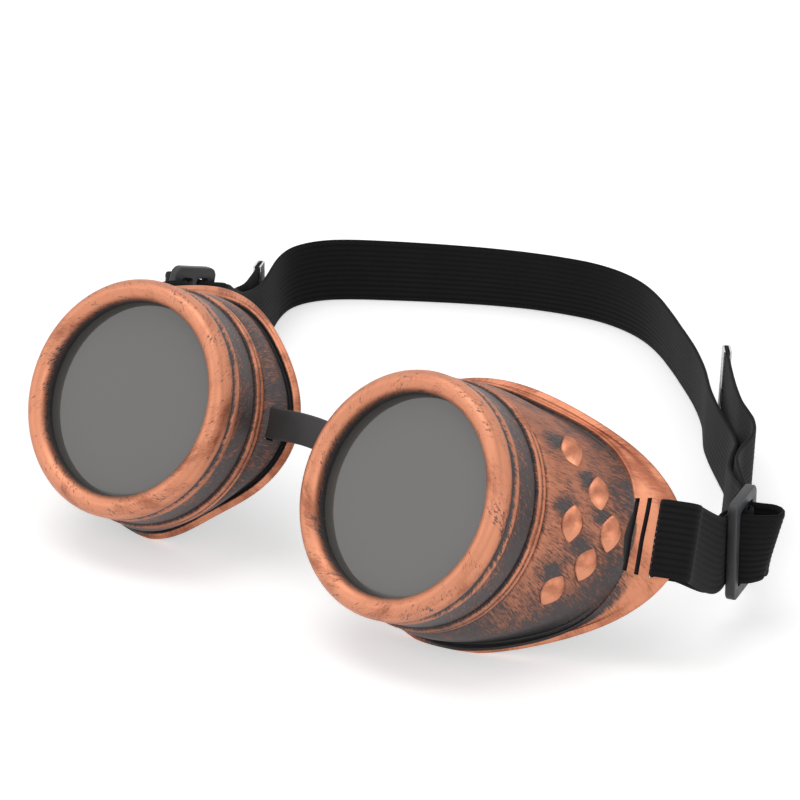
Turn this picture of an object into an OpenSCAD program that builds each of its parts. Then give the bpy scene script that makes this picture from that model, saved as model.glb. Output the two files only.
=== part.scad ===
// Round-lens goggles on an elastic head strap.
// They stand as when put down on a table: lenses to the front (-Y) and tipped upwards,
// the strap on its lower edge behind them. "Right" is the +X side.

/* [Eye cups] */
// Distance between the two lens centres
eye_spacing = 86; // [80:0.5:94]
// Turn of each cup towards the nose, in degrees
toe_in = 2.6; // [0:0.1:5]
// Backward tip of the goggles as they stand, in degrees
pitch = 29.4; // [20:0.2:36]
// Height of the lens centres above the table
eye_height = 39.6; // [37:0.2:46]
// Wall of the moulded cup
cup_wall = 2; // [1.4:0.1:2.8]
// How far the round bead stands out past the lens ring
bead_step = 0.5; // [0.2:0.1:2]
// Length of the bead along the cup
bead_len = 3.1; // [2:0.1:4]

/* [Cup rim] */
// How far the face rim stands out past the bead, above and below the eye
rim_step = 2.8; // [1.6:0.1:5]
// How far the temple wing reaches past the rim radius
wing_reach = 20; // [12:0.5:24]
// Direction of the wing, degrees above the horizontal
wing_angle = 10; // [0:1:18]
// How far the nose lobe reaches past the rim radius
nose_lobe = 3.2; // [0:0.1:5]
// How deep the cheek side is cut back
cheek_cut = 3.8; // [0:0.1:5]
// Length of the shield behind the bead at the nose
nose_wall = 7; // [6:0.5:10]
// Length of the shield behind the bead at the tip of the wing
wing_wall = 24; // [20:0.5:30]
// Width of the flat flange at the nose
flange_nose = 3; // [2.4:0.1:4]
// Width of the flat flange at the tip of the wing
flange_wing = 12.4; // [9:0.2:14]
// Extra width of the flange along the top
flange_top = 1.8; // [0:0.1:2.5]
// Thickness of the flange
flange_t = 1.8; // [1.2:0.1:2.6]

/* [Cup details] */
// Radius of each raised stud at its base
stud_r = 3.3; // [2.5:0.1:3.4]
// Height of each raised stud
stud_h = 1.8; // [0.8:0.1:2.6]
// Distance from the tip of the wing in to the outermost strap slot
slot_in = 6.2; // [5:0.1:7]
// Step from one strap slot to the next
slot_step = 2.4; // [2.2:0.1:3]
// Width of the two spare strap slots
slot_w = 1; // [0.8:0.1:1.5]

/* [Lens and ring] */
// Radius of the lens
lens_r = 25; // [24:0.1:26]
// Thickness of the lens
lens_t = 2.2; // [1.5:0.1:3]
// How far the ring's lip covers the edge of the lens
lens_lip = 1; // [0.6:0.1:2]
// Wall of the ring's skirt
ring_wall = 2.2; // [1.8:0.1:3]
// Length of the ring skirt, from the lens opening back
ring_len = 12; // [10:0.1:13]
// Depth of the dark lip wall between the ring's front edge and the lens
lip_len = 2.6; // [1.2:0.1:3]
// Height of the rounded front of the ring
ring_crown = 2.2; // [1.5:0.1:3]
// Wall of the barrel that the ring screws onto
barrel_wall = 2.5; // [2:0.1:3]
// How far the barrel reaches in behind the lens
barrel_seat = 0.5; // [0.3:0.1:1]
// Running clearance between barrel and ring, on the radius
thread_gap = 0.1; // [0.05:0.01:0.1]
// Thickness of the gasket behind the lens
gasket_t = 1; // [0.6:0.1:1.5]

/* [Nose bridge] */
// Height of the rubber band
bridge_h = 7.6; // [5:0.1:9]
// Thickness of the rubber band
bridge_t = 1.6; // [1:0.1:2]
// Rise of the band in the middle
bridge_arch = 1.6; // [0:0.1:3]
// Height of the band above the lens centres
bridge_up = 4.8; // [2:0.1:6]

/* [Strap] */
// Width of the elastic webbing
strap_w = 18; // [15:0.5:19]
// Thickness of the webbing
strap_t = 1.1; // [0.8:0.05:1.2]
// Free space beside the webbing in the slots
strap_gap = 0.45; // [0.3:0.05:0.6]

/* [Slider] */
// Length of the slider along the strap
slider_len = 15; // [14:0.5:17]
// Thickness of the slider
slider_t = 2.4; // [2:0.1:3]
// Width of the slider's end bars
slider_bar = 3; // [2:0.1:3.2]
// Width of the slider's middle bar
slider_mid = 2; // [1.6:0.1:2.4]
// How far the loose webbing loop stands out of the slider
loop_out = 7.4; // [6:0.1:8]

/* [Strap tips] */
// Length of the folded metal tip
tip_len = 5; // [4:0.5:8]
// Thickness of the tip's metal
tip_metal = 0.5; // [0.3:0.05:0.8]

/* [Hidden] */

$fn = 96;
copper = "#c2714a";
charcoal = "#2b2b2d";

// Sizes that follow from the ones above
opening_r = lens_r - lens_lip;
barrel_bore = lens_r - barrel_seat;
barrel_r = barrel_bore + barrel_wall;
ring_r = barrel_r + thread_gap + ring_wall;
bead_r = ring_r + bead_step;
rim_r = bead_r + rim_step;
slot_r = rim_r + wing_reach - slot_in;
slot_angle = wing_angle + 1;
slot_half = asin((strap_w / 2 + strap_gap) / slot_r);
flange_lean = 30;
lens_gap = 0.1;
pocket_r = lens_r + 0.2;
gasket_z = lip_len + lens_gap + lens_t + 0.05;
barrel_front = gasket_z + gasket_t + lens_gap;
pocket_end = barrel_front - 0.2;
bead_front = ring_len + 0.4;
bead_back = bead_front + bead_len;
nose_depth = bead_back + nose_wall;
wing_depth = bead_back + wing_wall;
shell_r = bead_r - 0.5;
shell_start = bead_back - 0.9;
rim_steps = 60;
// Shift that puts the origin under the middle of the whole outline
middle = [5.26, -86, 0];
bridge_depth = bead_back + 0.8 + bridge_t / 2;
strap_floor = strap_w / 2 + 0.05;
slider_w = strap_w + 7;
slider_gap = 0.3;
tail_in = slider_t / 2 + slider_gap + strap_t / 2;
main_in = tail_in + strap_t + slider_gap;
tail_pass = slider_len / 2 - slider_bar - slider_gap - strap_t / 2;
main_pass = slider_mid / 2 + slider_gap + strap_t / 2;
slider_exit = slider_len / 2 + 1.5;

// The strap's course below was laid out for lens centres this far apart, and grows with them
laid_out = 86;
reach = eye_spacing / laid_out;

// Where each slider sits on the strap, its turn inwards and its slope down to the back
function slider_at(side) = reach * (side > 0 ? [93.4, 63.9, 19.4] : [-92.3, 74.5, 25]);
function slider_turn(side) = side > 0 ? 17 : 4;
function slider_drop(side) = side > 0 ? 0 : 18;

// The strap behind the sliders, from the right side round the back to the left:
// [x, y, height above its place on the table, lean to the side, lean to the back]
main_run = [[79.4, 79.5, 8.5, 0.06, 0], [72.3, 87.5, 6.5, 0.08, 0], [65.6, 98, 4.1, 0.09, 0],
    [60, 107.6, 2, 0.09, 0], [53, 116, 0.6, 0.08, 0], [42.3, 126, 0, 0.06, 0], [32.8, 135.3, 0, 0.05, 0],
    [24.4, 145.4, 0, 0.02, -0.06], [14.4, 155.3, 0, 0, -0.08], [3, 164.8, 0, 0, -0.1],
    [-7, 172.7, 0, 0, -0.1], [-17, 179.6, 0, 0, -0.1], [-28, 184.4, 0, 0, -0.1], [-42, 185.6, 0, 0, -0.12],
    [-60, 180.8, 0, 0, -0.14], [-78, 172.1, 0, 0, -0.1], [-96.4, 160.8, 0, 0, -0.03],
    [-106, 153.8, 0, 0, 0], [-110.6, 148.3, 0, 0, 0], [-112.6, 142.5, 0, 0, 0], [-112.2, 137, 0, 0, 0],
    [-109.7, 130.5, 0, 0, 0], [-105.8, 123.2, 0, 0, 0], [-101.8, 115.3, 0.2, 0, 0],
    [-98.2, 106.5, 1.5, 0, 0.03], [-94.5, 97, 4.6, 0.02, 0.08], [-91, 89, 9.2, 0.02, 0.2]];
right_tail = [[81.5, 79.7, 10.4, 0.05, 0], [75.7, 86.2, 10.5, 0.05, 0], [72.8, 92.5, 10.5, 0.05, 0],
    [70.6, 100, 10.5, 0.05, 0], [65.6, 107.2, 10.5, 0.05, 0], [57.2, 114.2, 10.5, 0.05, 0],
    [48.3, 123.4, 10.6, 0.05, 0], [38.8, 134.4, 10.6, 0.05, 0]];
left_tail = [[-93.4, 90, 8.6, 0.02, 0.2], [-97.8, 98, 4.2, 0, 0.08], [-101.2, 104.5, 2.2, 0, 0],
    [-102.6, 110, 1.8, 0, 0], [-106.4, 118, 1.8, 0, 0]];

// Bell curve: 1 at its centre, falling away over "spread" degrees
function bell(a, centre, spread, power = 2) =
    let (d = abs((((a - centre) % 360) + 540) % 360 - 180)) exp(-pow(d / spread, power));
// Slow swell around the cup: 1 at its centre, 0 opposite
function swell(a, centre, power) = pow((1 + cos(a - centre)) / 2, power);

// The face rim, by angle around the cup axis (0 at the temple, 90 at the top)
function rim_radius(a) = rim_r + wing_reach * bell(a, wing_angle, 35, 1.7)
    + nose_lobe * bell(a, 170, 28) - cheek_cut * bell(a, 228, 30);
function rim_depth(a) = nose_depth + (wing_depth - nose_depth) * swell(a, wing_angle + 2, 2.2);
function flange_w(a) = flange_nose + (flange_wing - flange_nose) * bell(a, wing_angle, 26)
    + flange_top * bell(a, 72, 30);

// Points are [radius, depth]: depth runs back from the lens opening
function flange_dir() = [cos(flange_lean), sin(flange_lean)];
function flange_front() = [sin(flange_lean), -cos(flange_lean)];
function rim_edge(a) = [rim_radius(a), rim_depth(a)];
function flange_root(a) = rim_edge(a) - flange_w(a) * flange_dir();
function body_point(a, t, inset) =
    let (start = [shell_r, shell_start], run = flange_root(a) - start, dir = run / norm(run),
        out = [dir[1], -dir[0]])
    start + run * t + out * (0.9 * sin(180 * t) - inset);

// Cross-section of the shield at one angle, outside first, then back along the inside
function shield_section(a) = concat(
    [for (t = [0, 0.2, 0.45, 0.7, 0.92]) body_point(a, t, 0)],
    [flange_root(a) + 0.6 * flange_dir(),
        rim_edge(a) - 0.5 * flange_dir(),
        rim_edge(a) - 0.35 * flange_t * flange_front(),
        rim_edge(a) - 0.75 * flange_t * flange_front(),
        rim_edge(a) - 0.5 * flange_dir() - flange_t * flange_front(),
        flange_root(a) + 0.9 * flange_dir() - flange_t * flange_front()],
    [for (t = [0.85, 0.6, 0.3, 0]) body_point(a, t, cup_wall)]);

// Local cup frame: X to the temple, Y back, Z up, origin in the lens opening
module at_cup(side) {
    translate(middle + [0, 0, eye_height])
        rotate([-pitch, 0, 0])
            mirror([side < 0 ? 1 : 0, 0, 0])
                translate([eye_spacing / 2, 0, 0])
                    rotate([0, 0, -toe_in])
                        children();
}

// The same move for a point
function cup_point(side, p) =
    let (x = eye_spacing / 2 + p[0] * cos(toe_in) + p[1] * sin(toe_in),
        y = p[1] * cos(toe_in) - p[0] * sin(toe_in))
    [side * x, y * cos(pitch) + p[2] * sin(pitch), eye_height + p[2] * cos(pitch) - y * sin(pitch)];

// Turns a [radius, depth] outline around the cup axis
module around_axis() {
    rotate([-90, 0, 0]) rotate_extrude() children();
}

module shield() {
    count = len(shield_section(0));
    points = [for (i = [0 : rim_steps - 1]) let (a = i * 360 / rim_steps)
        for (p = shield_section(a)) [p[0] * cos(a), p[1], p[0] * sin(a)]];
    faces = [for (i = [0 : rim_steps - 1]) for (j = [0 : count - 1])
        let (a0 = i * count, a1 = ((i + 1) % rim_steps) * count, k = (j + 1) % count)
        for (f = [[a0 + j, a1 + j, a1 + k], [a0 + j, a1 + k, a0 + k]]) f];
    polyhedron(points, faces, convexity = 6);
}

module barrel() {
    around_axis()
        polygon([[barrel_bore, barrel_front], [barrel_r, barrel_front], [barrel_r, bead_front],
            [bead_r - 0.5, bead_front], [bead_r, bead_front + 0.5], [bead_r, bead_front + 1.3],
            [bead_r - 0.35, bead_front + 1.55], [bead_r, bead_front + 1.8],
            [bead_r, bead_back - 0.4], [bead_r - 0.4, bead_back], [barrel_bore, bead_back]]);
}

// A low round stud standing square on the shield, at angle a and share t of the way to the flange
module stud(a, t) {
    foot = body_point(a, t, 1);
    ahead = body_point(a, t + 0.05, 1) - foot;
    tilt = atan2(ahead[0], ahead[1]);
    rotate([0, -a, 0])
        translate([foot[0], foot[1], 0])
            rotate([0, 0, -tilt])
                rotate([0, 90, 0])
                    cylinder(h = stud_h + 1, r1 = stud_r, r2 = stud_r * 0.25);
}

// Curved slot around the cup axis
module curved_slot(r) {
    rotate([-90, 0, 0])
        rotate([0, 0, -slot_angle - slot_half])
            rotate_extrude(angle = 2 * slot_half)
                translate([r - slot_w / 2, nose_depth]) square([slot_w, wing_wall]);
}

// Frame at the strap's own slot: X out along the flange, Y square to it (back), Z along the slot
function slot_depth() = let (root = flange_root(slot_angle))
    root[1] + (slot_r - root[0]) * tan(flange_lean) + flange_t / 2 / cos(flange_lean);
module at_slot() {
    rotate([0, -slot_angle, 0])
        translate([slot_r, slot_depth(), 0])
            rotate([0, 0, flange_lean])
                children();
}

module strap_slot() {
    at_slot() cube([strap_t + 2 * strap_gap, 8, strap_w + 2 * strap_gap], center = true);
}

// Opening for the nose band, just behind the bead
module bridge_slot() {
    translate([-shell_r - 4, bridge_depth - bridge_t / 2 - 0.55, bridge_up - bridge_h / 2 - 0.4])
        cube([8, bridge_t + 1.1, bridge_h + 1.4]);
}

module eye_cup(side) {
    color(copper)
        difference() {
            at_cup(side)
                difference() {
                    union() {
                        barrel();
                        shield();
                        for (t = [0.33, 0.75]) stud(slot_angle - 1, t);
                        for (d = [-13.5, 11.5]) stud(slot_angle + d, 0.61);
                        for (d = [-27.5, 29]) stud(slot_angle + d, 0.43);
                    }
                    curved_slot(slot_r - slot_step);
                    curved_slot(slot_r - 2 * slot_step);
                    strap_slot();
                    bridge_slot();
                }
            translate([-4 * rim_r, -4 * rim_r, -rim_r]) cube(rim_r * [8, 8, 1]);
        }
}

module lens_ring(side) {
    bore = barrel_r + thread_gap;
    color(copper)
        at_cup(side) around_axis()
            polygon([[opening_r, 0], [opening_r + 0.7, -0.55 * ring_crown],
                [opening_r + 1.7, -0.9 * ring_crown], [opening_r + 2.7, -ring_crown],
                [ring_r - 1.3, -0.75 * ring_crown], [ring_r - 0.4, -0.3 * ring_crown], [ring_r, 0.5],
                [ring_r, 2.3], [ring_r - 0.9, 3.2], [ring_r - 0.9, 3.8], [ring_r - 0.2, 4.4],
                [ring_r - 0.2, 5.4], [ring_r - 0.5, 6], [ring_r - 0.3, ring_len - 0.4],
                [ring_r - 0.6, ring_len], [bore, ring_len], [bore, pocket_end], [pocket_r, pocket_end],
                [pocket_r, lip_len], [opening_r, lip_len]]);
}

module lens(side) {
    color([0.3, 0.3, 0.29, 0.8])
        at_cup(side) around_axis()
            translate([0, lip_len + lens_gap]) square([lens_r, lens_t]);
}

module lens_gasket(side) {
    color("#1c1c1c")
        at_cup(side) around_axis()
            translate([opening_r - 0.2, gasket_z]) square([lens_lip + 0.2, gasket_t]);
}

// A flat band swept through stations, each one a point and a direction across the band
function unit(v) = v / norm(v);
function ahead(s, i) = unit(s[min(i + 1, len(s) - 1)][0] - s[max(i - 1, 0)][0]);
function face_dir(s, i) = unit(cross(ahead(s, i), s[i][1]));
function across(s, i) = cross(face_dir(s, i), ahead(s, i));
module band(stations, width, thickness) {
    n = len(stations);
    points = [for (i = [0 : n - 1])
        let (p = stations[i][0], e = across(stations, i) * width / 2,
            f = face_dir(stations, i) * thickness / 2)
        for (q = [p + e + f, p - e + f, p - e - f, p + e - f]) q];
    sides = [for (i = [0 : n - 2]) for (j = [0 : 3])
        let (a = 4 * i + j, b = 4 * i + (j + 1) % 4)
        for (t = [[a, b + 4, b], [a, a + 4, b + 4]]) t];
    last = 4 * (n - 1);
    polyhedron(points, concat(sides, [[0, 1, 2, 3], [last + 3, last + 2, last + 1, last]]), convexity = 10);
}

// Flexible band between the cups, with a wide head inside each cup that keeps it in its slot
module nose_bridge() {
    head_in = shell_r - cup_wall - 1.5;
    head_t = 1.4;
    band_end = head_in - head_t / 2;
    root = eye_spacing / 2 - band_end * cos(toe_in) + bridge_depth * sin(toe_in);
    depth = bridge_depth * cos(toe_in) + band_end * sin(toe_in);
    steps = 16;
    stations = [for (i = [0 : steps])
        let (s = 2 * i / steps - 1, rise = bridge_up + bridge_arch * pow(1 - s * s, 2))
        [[s * root, depth * cos(pitch) + rise * sin(pitch),
            eye_height + rise * cos(pitch) - depth * sin(pitch)], [0, sin(pitch), cos(pitch)]]];
    color(charcoal)
        union() {
            translate(middle) band(stations, bridge_h, bridge_t);
            for (side = [-1, 1])
                at_cup(side)
                    translate([-head_in, bridge_depth - 0.9, bridge_up - bridge_h / 2 - 1.3])
                        cube([head_t, 2.6, bridge_h + 2.6]);
        }
}

// Slider frame: X outwards, Y along the strap to the back, Z across the strap
module at_slider(side) {
    translate(middle + slider_at(side))
        mirror([side < 0 ? 1 : 0, 0, 0])
            rotate([0, 0, slider_turn(side)])
                rotate([-slider_drop(side), 0, 0])
                    children();
}
function slider_dir(side, v) =
    let (d = slider_drop(side), t = slider_turn(side),
        y = v[1] * cos(d) + v[2] * sin(d), z = v[2] * cos(d) - v[1] * sin(d))
    [side * (v[0] * cos(t) - y * sin(t)), v[0] * sin(t) + y * cos(t), z];

module slider(side) {
    corner = 2.4;
    opening = slider_len / 2 - slider_bar - slider_mid / 2;
    color(charcoal)
        at_slider(side)
            rotate([90, 0, 90])
                translate([0, 0, -slider_t / 2])
                    linear_extrude(slider_t)
                        difference() {
                            union() {
                                square([slider_len - 2 * corner, slider_w], center = true);
                                square([slider_len, slider_w - 2 * corner], center = true);
                                for (a = [-1, 1])
                                    for (b = [-1, 1])
                                        translate([a * (slider_len / 2 - corner),
                                            b * (slider_w / 2 - corner)])
                                            circle(corner);
                            }
                            for (a = [-1, 1])
                                translate([a * (slider_mid + opening) / 2, 0])
                                    square([opening, strap_w + 2 * strap_gap], center = true);
                        }
}

// Webbing path through a slider, front to back: [along, outwards, spread of the upper edge]
function tail_layer() =
    let (way_in = [[slider_exit, -tail_in, 0], [tail_pass + 1.6, -tail_in, 0],
            [tail_pass + 0.75, -tail_in + 0.1, 0],
            [tail_pass + 0.2, -slider_t / 2 - 0.35, 0], [tail_pass, -0.9, 0], [tail_pass, 0.4, 0]],
        out = loop_out)
    concat([for (p = way_in) [-p[0], p[1], p[2]]],
        [[0.3 - tail_pass, 2, 0.03], [0.9 - tail_pass, 0.5 * out, 0.1], [-1.3, 0.78 * out, 0.18],
            [0, 0.94 * out, 0.24], [1.5, out, 0.26], [2.9, 0.94 * out, 0.24],
            [3.8, 0.76 * out, 0.18], [4, 0.5 * out, 0.1], [tail_pass + 0.15, 2, 0.03]],
        [for (i = [5 : -1 : 0]) way_in[i]]);
function main_layer() =
    let (half = [[slider_exit, -main_in], [tail_pass + 1.8, -main_in], [tail_pass + 0.2, 0.25 - main_in],
            [main_pass + 0.85, -2.5], [main_pass + 0.2, -1.5], [main_pass, -0.5], [main_pass, 0.6],
            [main_pass - 0.15, slider_t / 2 + 0.15], [main_pass - 0.7, tail_in - 0.05],
            [main_pass - 1.5, tail_in + 0.2]])
    concat([for (p = half) [-p[0], p[1], 0]], [for (i = [9 : -1 : 0]) [half[i][0], half[i][1], 0]]);
function slider_stations(side, layer) = [for (p = layer)
    [slider_at(side) + slider_dir(side, [p[1], p[0], 0]), unit(slider_dir(side, [p[2], 0, 1]))]];

// Webbing path through the cup's slot, from the outer layer to the inner one
function slot_station(side, x, y) =
    let (r = slot_r + x * cos(flange_lean) - y * sin(flange_lean),
        w = slot_depth() + x * sin(flange_lean) + y * cos(flange_lean),
        p = [r * cos(slot_angle), w, r * sin(slot_angle)], e = [-sin(slot_angle), 0, cos(slot_angle)])
    [cup_point(side, p), cup_point(side, p + e) - cup_point(side, p)];
function slot_stations(side) =
    let (off = (flange_t + strap_t) / 2 + 0.65, back = off + 1.75, tip = slot_in / cos(flange_lean) + 1.4)
    [for (p = [[tip + 0.1, 1.6], [tip + 0.2, 0.2], [tip - 0.2, -1], [tip - 1.2, 0.1 - off],
            [tip - 3, -off - 0.1], [2.6, -off],
            [1.2, 0.25 - off], [0.3, 0.9 - off], [0, 0], [0.05, back - 2], [0.4, back - 0.9],
            [1.3, back - 0.2], [2.6, back], [5.4, back + 0.1]])
        slot_station(side, p[0], p[1])];

// Free strap: smooth curve through [x, y, height, side lean, back lean] rows
function curve_point(p, i, t) =
    let (last = len(p) - 1, a = p[max(i - 1, 0)], b = p[i], c = p[i + 1], d = p[min(i + 2, last)])
    0.5 * (2 * b + (c - a) * t + (2 * a - 5 * b + 4 * c - d) * t * t + (3 * b - a - 3 * c + d) * t * t * t);
function free_stations(rows) =
    [for (i = [0 : len(rows) - 2]) for (t = [0, 0.5]) strap_station(curve_point(rows, i, t)),
        each [strap_station(rows[len(rows) - 1])]];
function strap_station(q) = [[reach * q[0], reach * q[1], q[2] + strap_floor], unit([q[3], q[4], 1])];
function flip(s) = [for (i = [len(s) - 1 : -1 : 0]) s[i]];
// The tail's last stretch is straight, for its metal tip
function tail_stations(tail) =
    let (s = free_stations(tail), n = len(s) - 1, dir = unit(s[n][0] - s[n - 1][0]))
    concat(s, [for (d = [0.6, tip_len + 1]) [s[n][0] + d * dir, s[n][1]]]);

// One side of the strap from the end of its tail to the main run behind the slider
function side_stations(side, tail) = concat(
    flip(tail_stations(tail)),
    flip(slider_stations(side, tail_layer())),
    slot_stations(side),
    slider_stations(side, main_layer()));

module head_strap() {
    color("#1b1b1c")
        translate(middle)
            band(concat(side_stations(1, right_tail), free_stations(main_run),
                flip(side_stations(-1, left_tail))), strap_w, strap_t);
}

// Metal clip folded over the end of the webbing
module strap_tip(tail) {
    s = tail_stations(tail);
    n = len(s) - 1;
    along = ahead(s, n);
    out = face_dir(s, n);
    up = across(s, n);
    inside = strap_t + 0.1;
    color("#c9cacb")
        translate(middle + s[n][0])
            multmatrix([[along[0], out[0], up[0], 0], [along[1], out[1], up[1], 0],
                [along[2], out[2], up[2], 0]])
                difference() {
                    translate([-tip_len + 0.8, -inside / 2 - tip_metal, -strap_w / 2 - 0.3])
                        cube([tip_len, inside + 2 * tip_metal, strap_w + 0.6]);
                    translate([-tip_len, -inside / 2, -strap_w])
                        cube([tip_len + 0.1, inside, 2 * strap_w]);
                }
}

eye_cup(1);  // right_eye_cup
eye_cup(-1);  // left_eye_cup
lens_ring(1);  // right_lens_ring
lens_ring(-1);  // left_lens_ring
lens(1);  // right_lens
lens(-1);  // left_lens
lens_gasket(1);  // right_lens_gasket
lens_gasket(-1);  // left_lens_gasket
nose_bridge();
head_strap();
slider(1);  // right_slider
slider(-1);  // left_slider
strap_tip(right_tail);  // right_strap_tip
strap_tip(left_tail);  // left_strap_tip
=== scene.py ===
import math

import bmesh
import bpy
import numpy as np
from mathutils import Matrix, Vector


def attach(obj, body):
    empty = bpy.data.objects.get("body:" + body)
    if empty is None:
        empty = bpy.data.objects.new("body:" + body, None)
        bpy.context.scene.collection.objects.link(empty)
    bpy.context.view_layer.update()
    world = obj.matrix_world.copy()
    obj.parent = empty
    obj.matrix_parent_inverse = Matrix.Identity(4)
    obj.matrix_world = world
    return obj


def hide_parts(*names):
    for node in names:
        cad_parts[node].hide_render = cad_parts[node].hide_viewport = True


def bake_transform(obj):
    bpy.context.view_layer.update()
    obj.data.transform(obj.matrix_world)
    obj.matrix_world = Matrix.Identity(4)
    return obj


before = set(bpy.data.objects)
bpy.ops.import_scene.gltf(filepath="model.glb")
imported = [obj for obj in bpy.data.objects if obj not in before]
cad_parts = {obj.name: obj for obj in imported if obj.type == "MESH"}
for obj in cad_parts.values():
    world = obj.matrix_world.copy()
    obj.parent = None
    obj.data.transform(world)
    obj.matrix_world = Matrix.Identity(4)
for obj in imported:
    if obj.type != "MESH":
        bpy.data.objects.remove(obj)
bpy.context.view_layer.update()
mm = 0.001  # lengths below are in millimetres, and meshes are written in metres
print("frame loaded")


# Camera, floor and light

camera = {"place": (589.7, -739.5, 436.7), "looks": (-0.5842, 0.7046, -0.4028), "lens": 184.4}

cameraData = bpy.data.cameras.new("photoCamera")
cameraData.lens = camera["lens"]
cameraData.sensor_width = 36
cameraData.clip_start = 0.01
cameraObject = bpy.data.objects.new("photoCamera", cameraData)
cameraObject.location = Vector(camera["place"]) * mm
cameraObject.rotation_euler = Vector(camera["looks"]).to_track_quat("-Z", "Y").to_euler()
bpy.context.collection.objects.link(cameraObject)
bpy.context.scene.camera = cameraObject
bpy.context.scene.view_settings.view_transform = "Standard"

# name: place and aim in metres, size in metres, power in watts
softLamps = {
    "overhead": ((-0.25, -0.15, 1.5), (0, 0, 0), 1.1, 6.5),
    "frontLeft": ((-1.1, -1.3, 0.9), (0, 0, 0.03), 0.9, 2.5),
    "frontRight": ((1.3, -0.9, 0.8), (0, 0, 0.03), 0.8, 3.5),
}
lightLevel = {"world": 0.5, "floorColour": (0.9, 0.9, 0.9, 1), "floorGlow": 0.45}


def addLamp(name, place, aim, size, power):
    data = bpy.data.lights.new(name, "AREA")
    data.shape = "DISK"
    data.size = size
    data.energy = power
    lamp = bpy.data.objects.new(name, data)
    lamp.location = place
    lamp.rotation_euler = (Vector(aim) - Vector(place)).to_track_quat("-Z", "Y").to_euler()
    bpy.context.collection.objects.link(lamp)


for name, values in softLamps.items():
    addLamp(name, *values)


# Node helpers

# Put a node into a tree, with its settings, fixed inputs and links
def put(tree, kind, inputs=None, **settings):
    node = tree.nodes.new(kind)
    for key, value in settings.items():
        setattr(node, key, value)
    for key, value in (inputs or {}).items():
        if isinstance(value, bpy.types.NodeSocket):
            tree.links.new(value, node.inputs[key])
        else:
            node.inputs[key].default_value = value
    return node


def calc(tree, operation, a, b=0.0, c=0.0):
    return put(tree, "ShaderNodeMath", {0: a, 1: b, 2: c}, operation=operation).outputs[0]


def scaled(tree, vector, factors):
    return put(tree, "ShaderNodeVectorMath", {0: vector, 1: factors}, operation="MULTIPLY").outputs[0]


def noise(tree, vector, scale, detail, **more):
    node = put(tree, "ShaderNodeTexNoise", {"Vector": vector, "Scale": scale, "Detail": detail})
    for key, value in more.items():
        node.inputs[key].default_value = value
    return node.outputs[0]


def mixColour(tree, amount, a, b):
    return put(tree, "ShaderNodeMix", {0: amount, 6: a, 7: b}, data_type="RGBA").outputs[2]


def steps(tree, value, low, high, toLow=0.0, toHigh=1.0):
    return put(tree, "ShaderNodeMapRange", {"Value": value, "From Min": low, "From Max": high,
        "To Min": toLow, "To Max": toHigh}, interpolation_type="SMOOTHSTEP").outputs[0]


def newGroup(name, inputs, outputs):
    tree = bpy.data.node_groups.new(name, "ShaderNodeTree")
    kinds = {"float": "NodeSocketFloat", "vector": "NodeSocketVector"}
    for label, kind, start in inputs:
        socket = tree.interface.new_socket(label, in_out="INPUT", socket_type=kinds[kind])
        if start is not None:
            socket.default_value = start
    for label, kind in outputs:
        tree.interface.new_socket(label, in_out="OUTPUT", socket_type=kinds[kind])
    return tree, put(tree, "NodeGroupInput"), put(tree, "NodeGroupOutput")


def newMaterial(name):
    material = bpy.data.materials.new(name)
    material.use_nodes = True
    tree = material.node_tree
    surface = tree.nodes["Principled BSDF"]
    return material, tree, surface


def wire(tree, surface, **links):
    names = {"colour": "Base Color", "roughness": "Roughness", "metallic": "Metallic", "normal": "Normal"}
    for key, socket in links.items():
        tree.links.new(socket, surface.inputs[names[key]])


def backdrop():
    world = bpy.data.worlds.new("studio")
    world.use_nodes = True
    bpy.context.scene.world = world
    tree = world.node_tree
    rays = put(tree, "ShaderNodeLightPath")
    seen = calc(tree, "MAXIMUM", rays.outputs["Is Camera Ray"], rays.outputs["Is Glossy Ray"])
    seen = calc(tree, "MAXIMUM", seen, rays.outputs["Is Transmission Ray"])
    level = calc(tree, "MULTIPLY_ADD", seen, 1 - lightLevel["world"], lightLevel["world"])
    sky = tree.nodes["Background"]
    sky.inputs["Color"].default_value = (1, 1, 1, 1)
    tree.links.new(level, sky.inputs["Strength"])

    half = 6.0
    mesh = bpy.data.meshes.new("floor")
    corners = [(-half, -half, 0), (half, -half, 0), (half, half, 0), (-half, half, 0)]
    mesh.from_pydata(corners, [], [(0, 1, 2, 3)])
    floor = bpy.data.objects.new("floor", mesh)
    bpy.context.collection.objects.link(floor)
    material, tree, surface = newMaterial("floorPaper")
    surface.inputs["Base Color"].default_value = lightLevel["floorColour"]
    surface.inputs["Roughness"].default_value = 0.9
    surface.inputs["Specular IOR Level"].default_value = 0
    surface.inputs["Emission Color"].default_value = (1, 1, 1, 1)
    rays = put(tree, "ShaderNodeLightPath")
    seen = calc(tree, "MAXIMUM", rays.outputs["Is Camera Ray"], rays.outputs["Is Glossy Ray"])
    tree.links.new(calc(tree, "MULTIPLY", seen, lightLevel["floorGlow"]), surface.inputs["Emission Strength"])
    mesh.materials.append(material)


backdrop()
print("camera, floor and light set")


# Finishes that several pieces share

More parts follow.
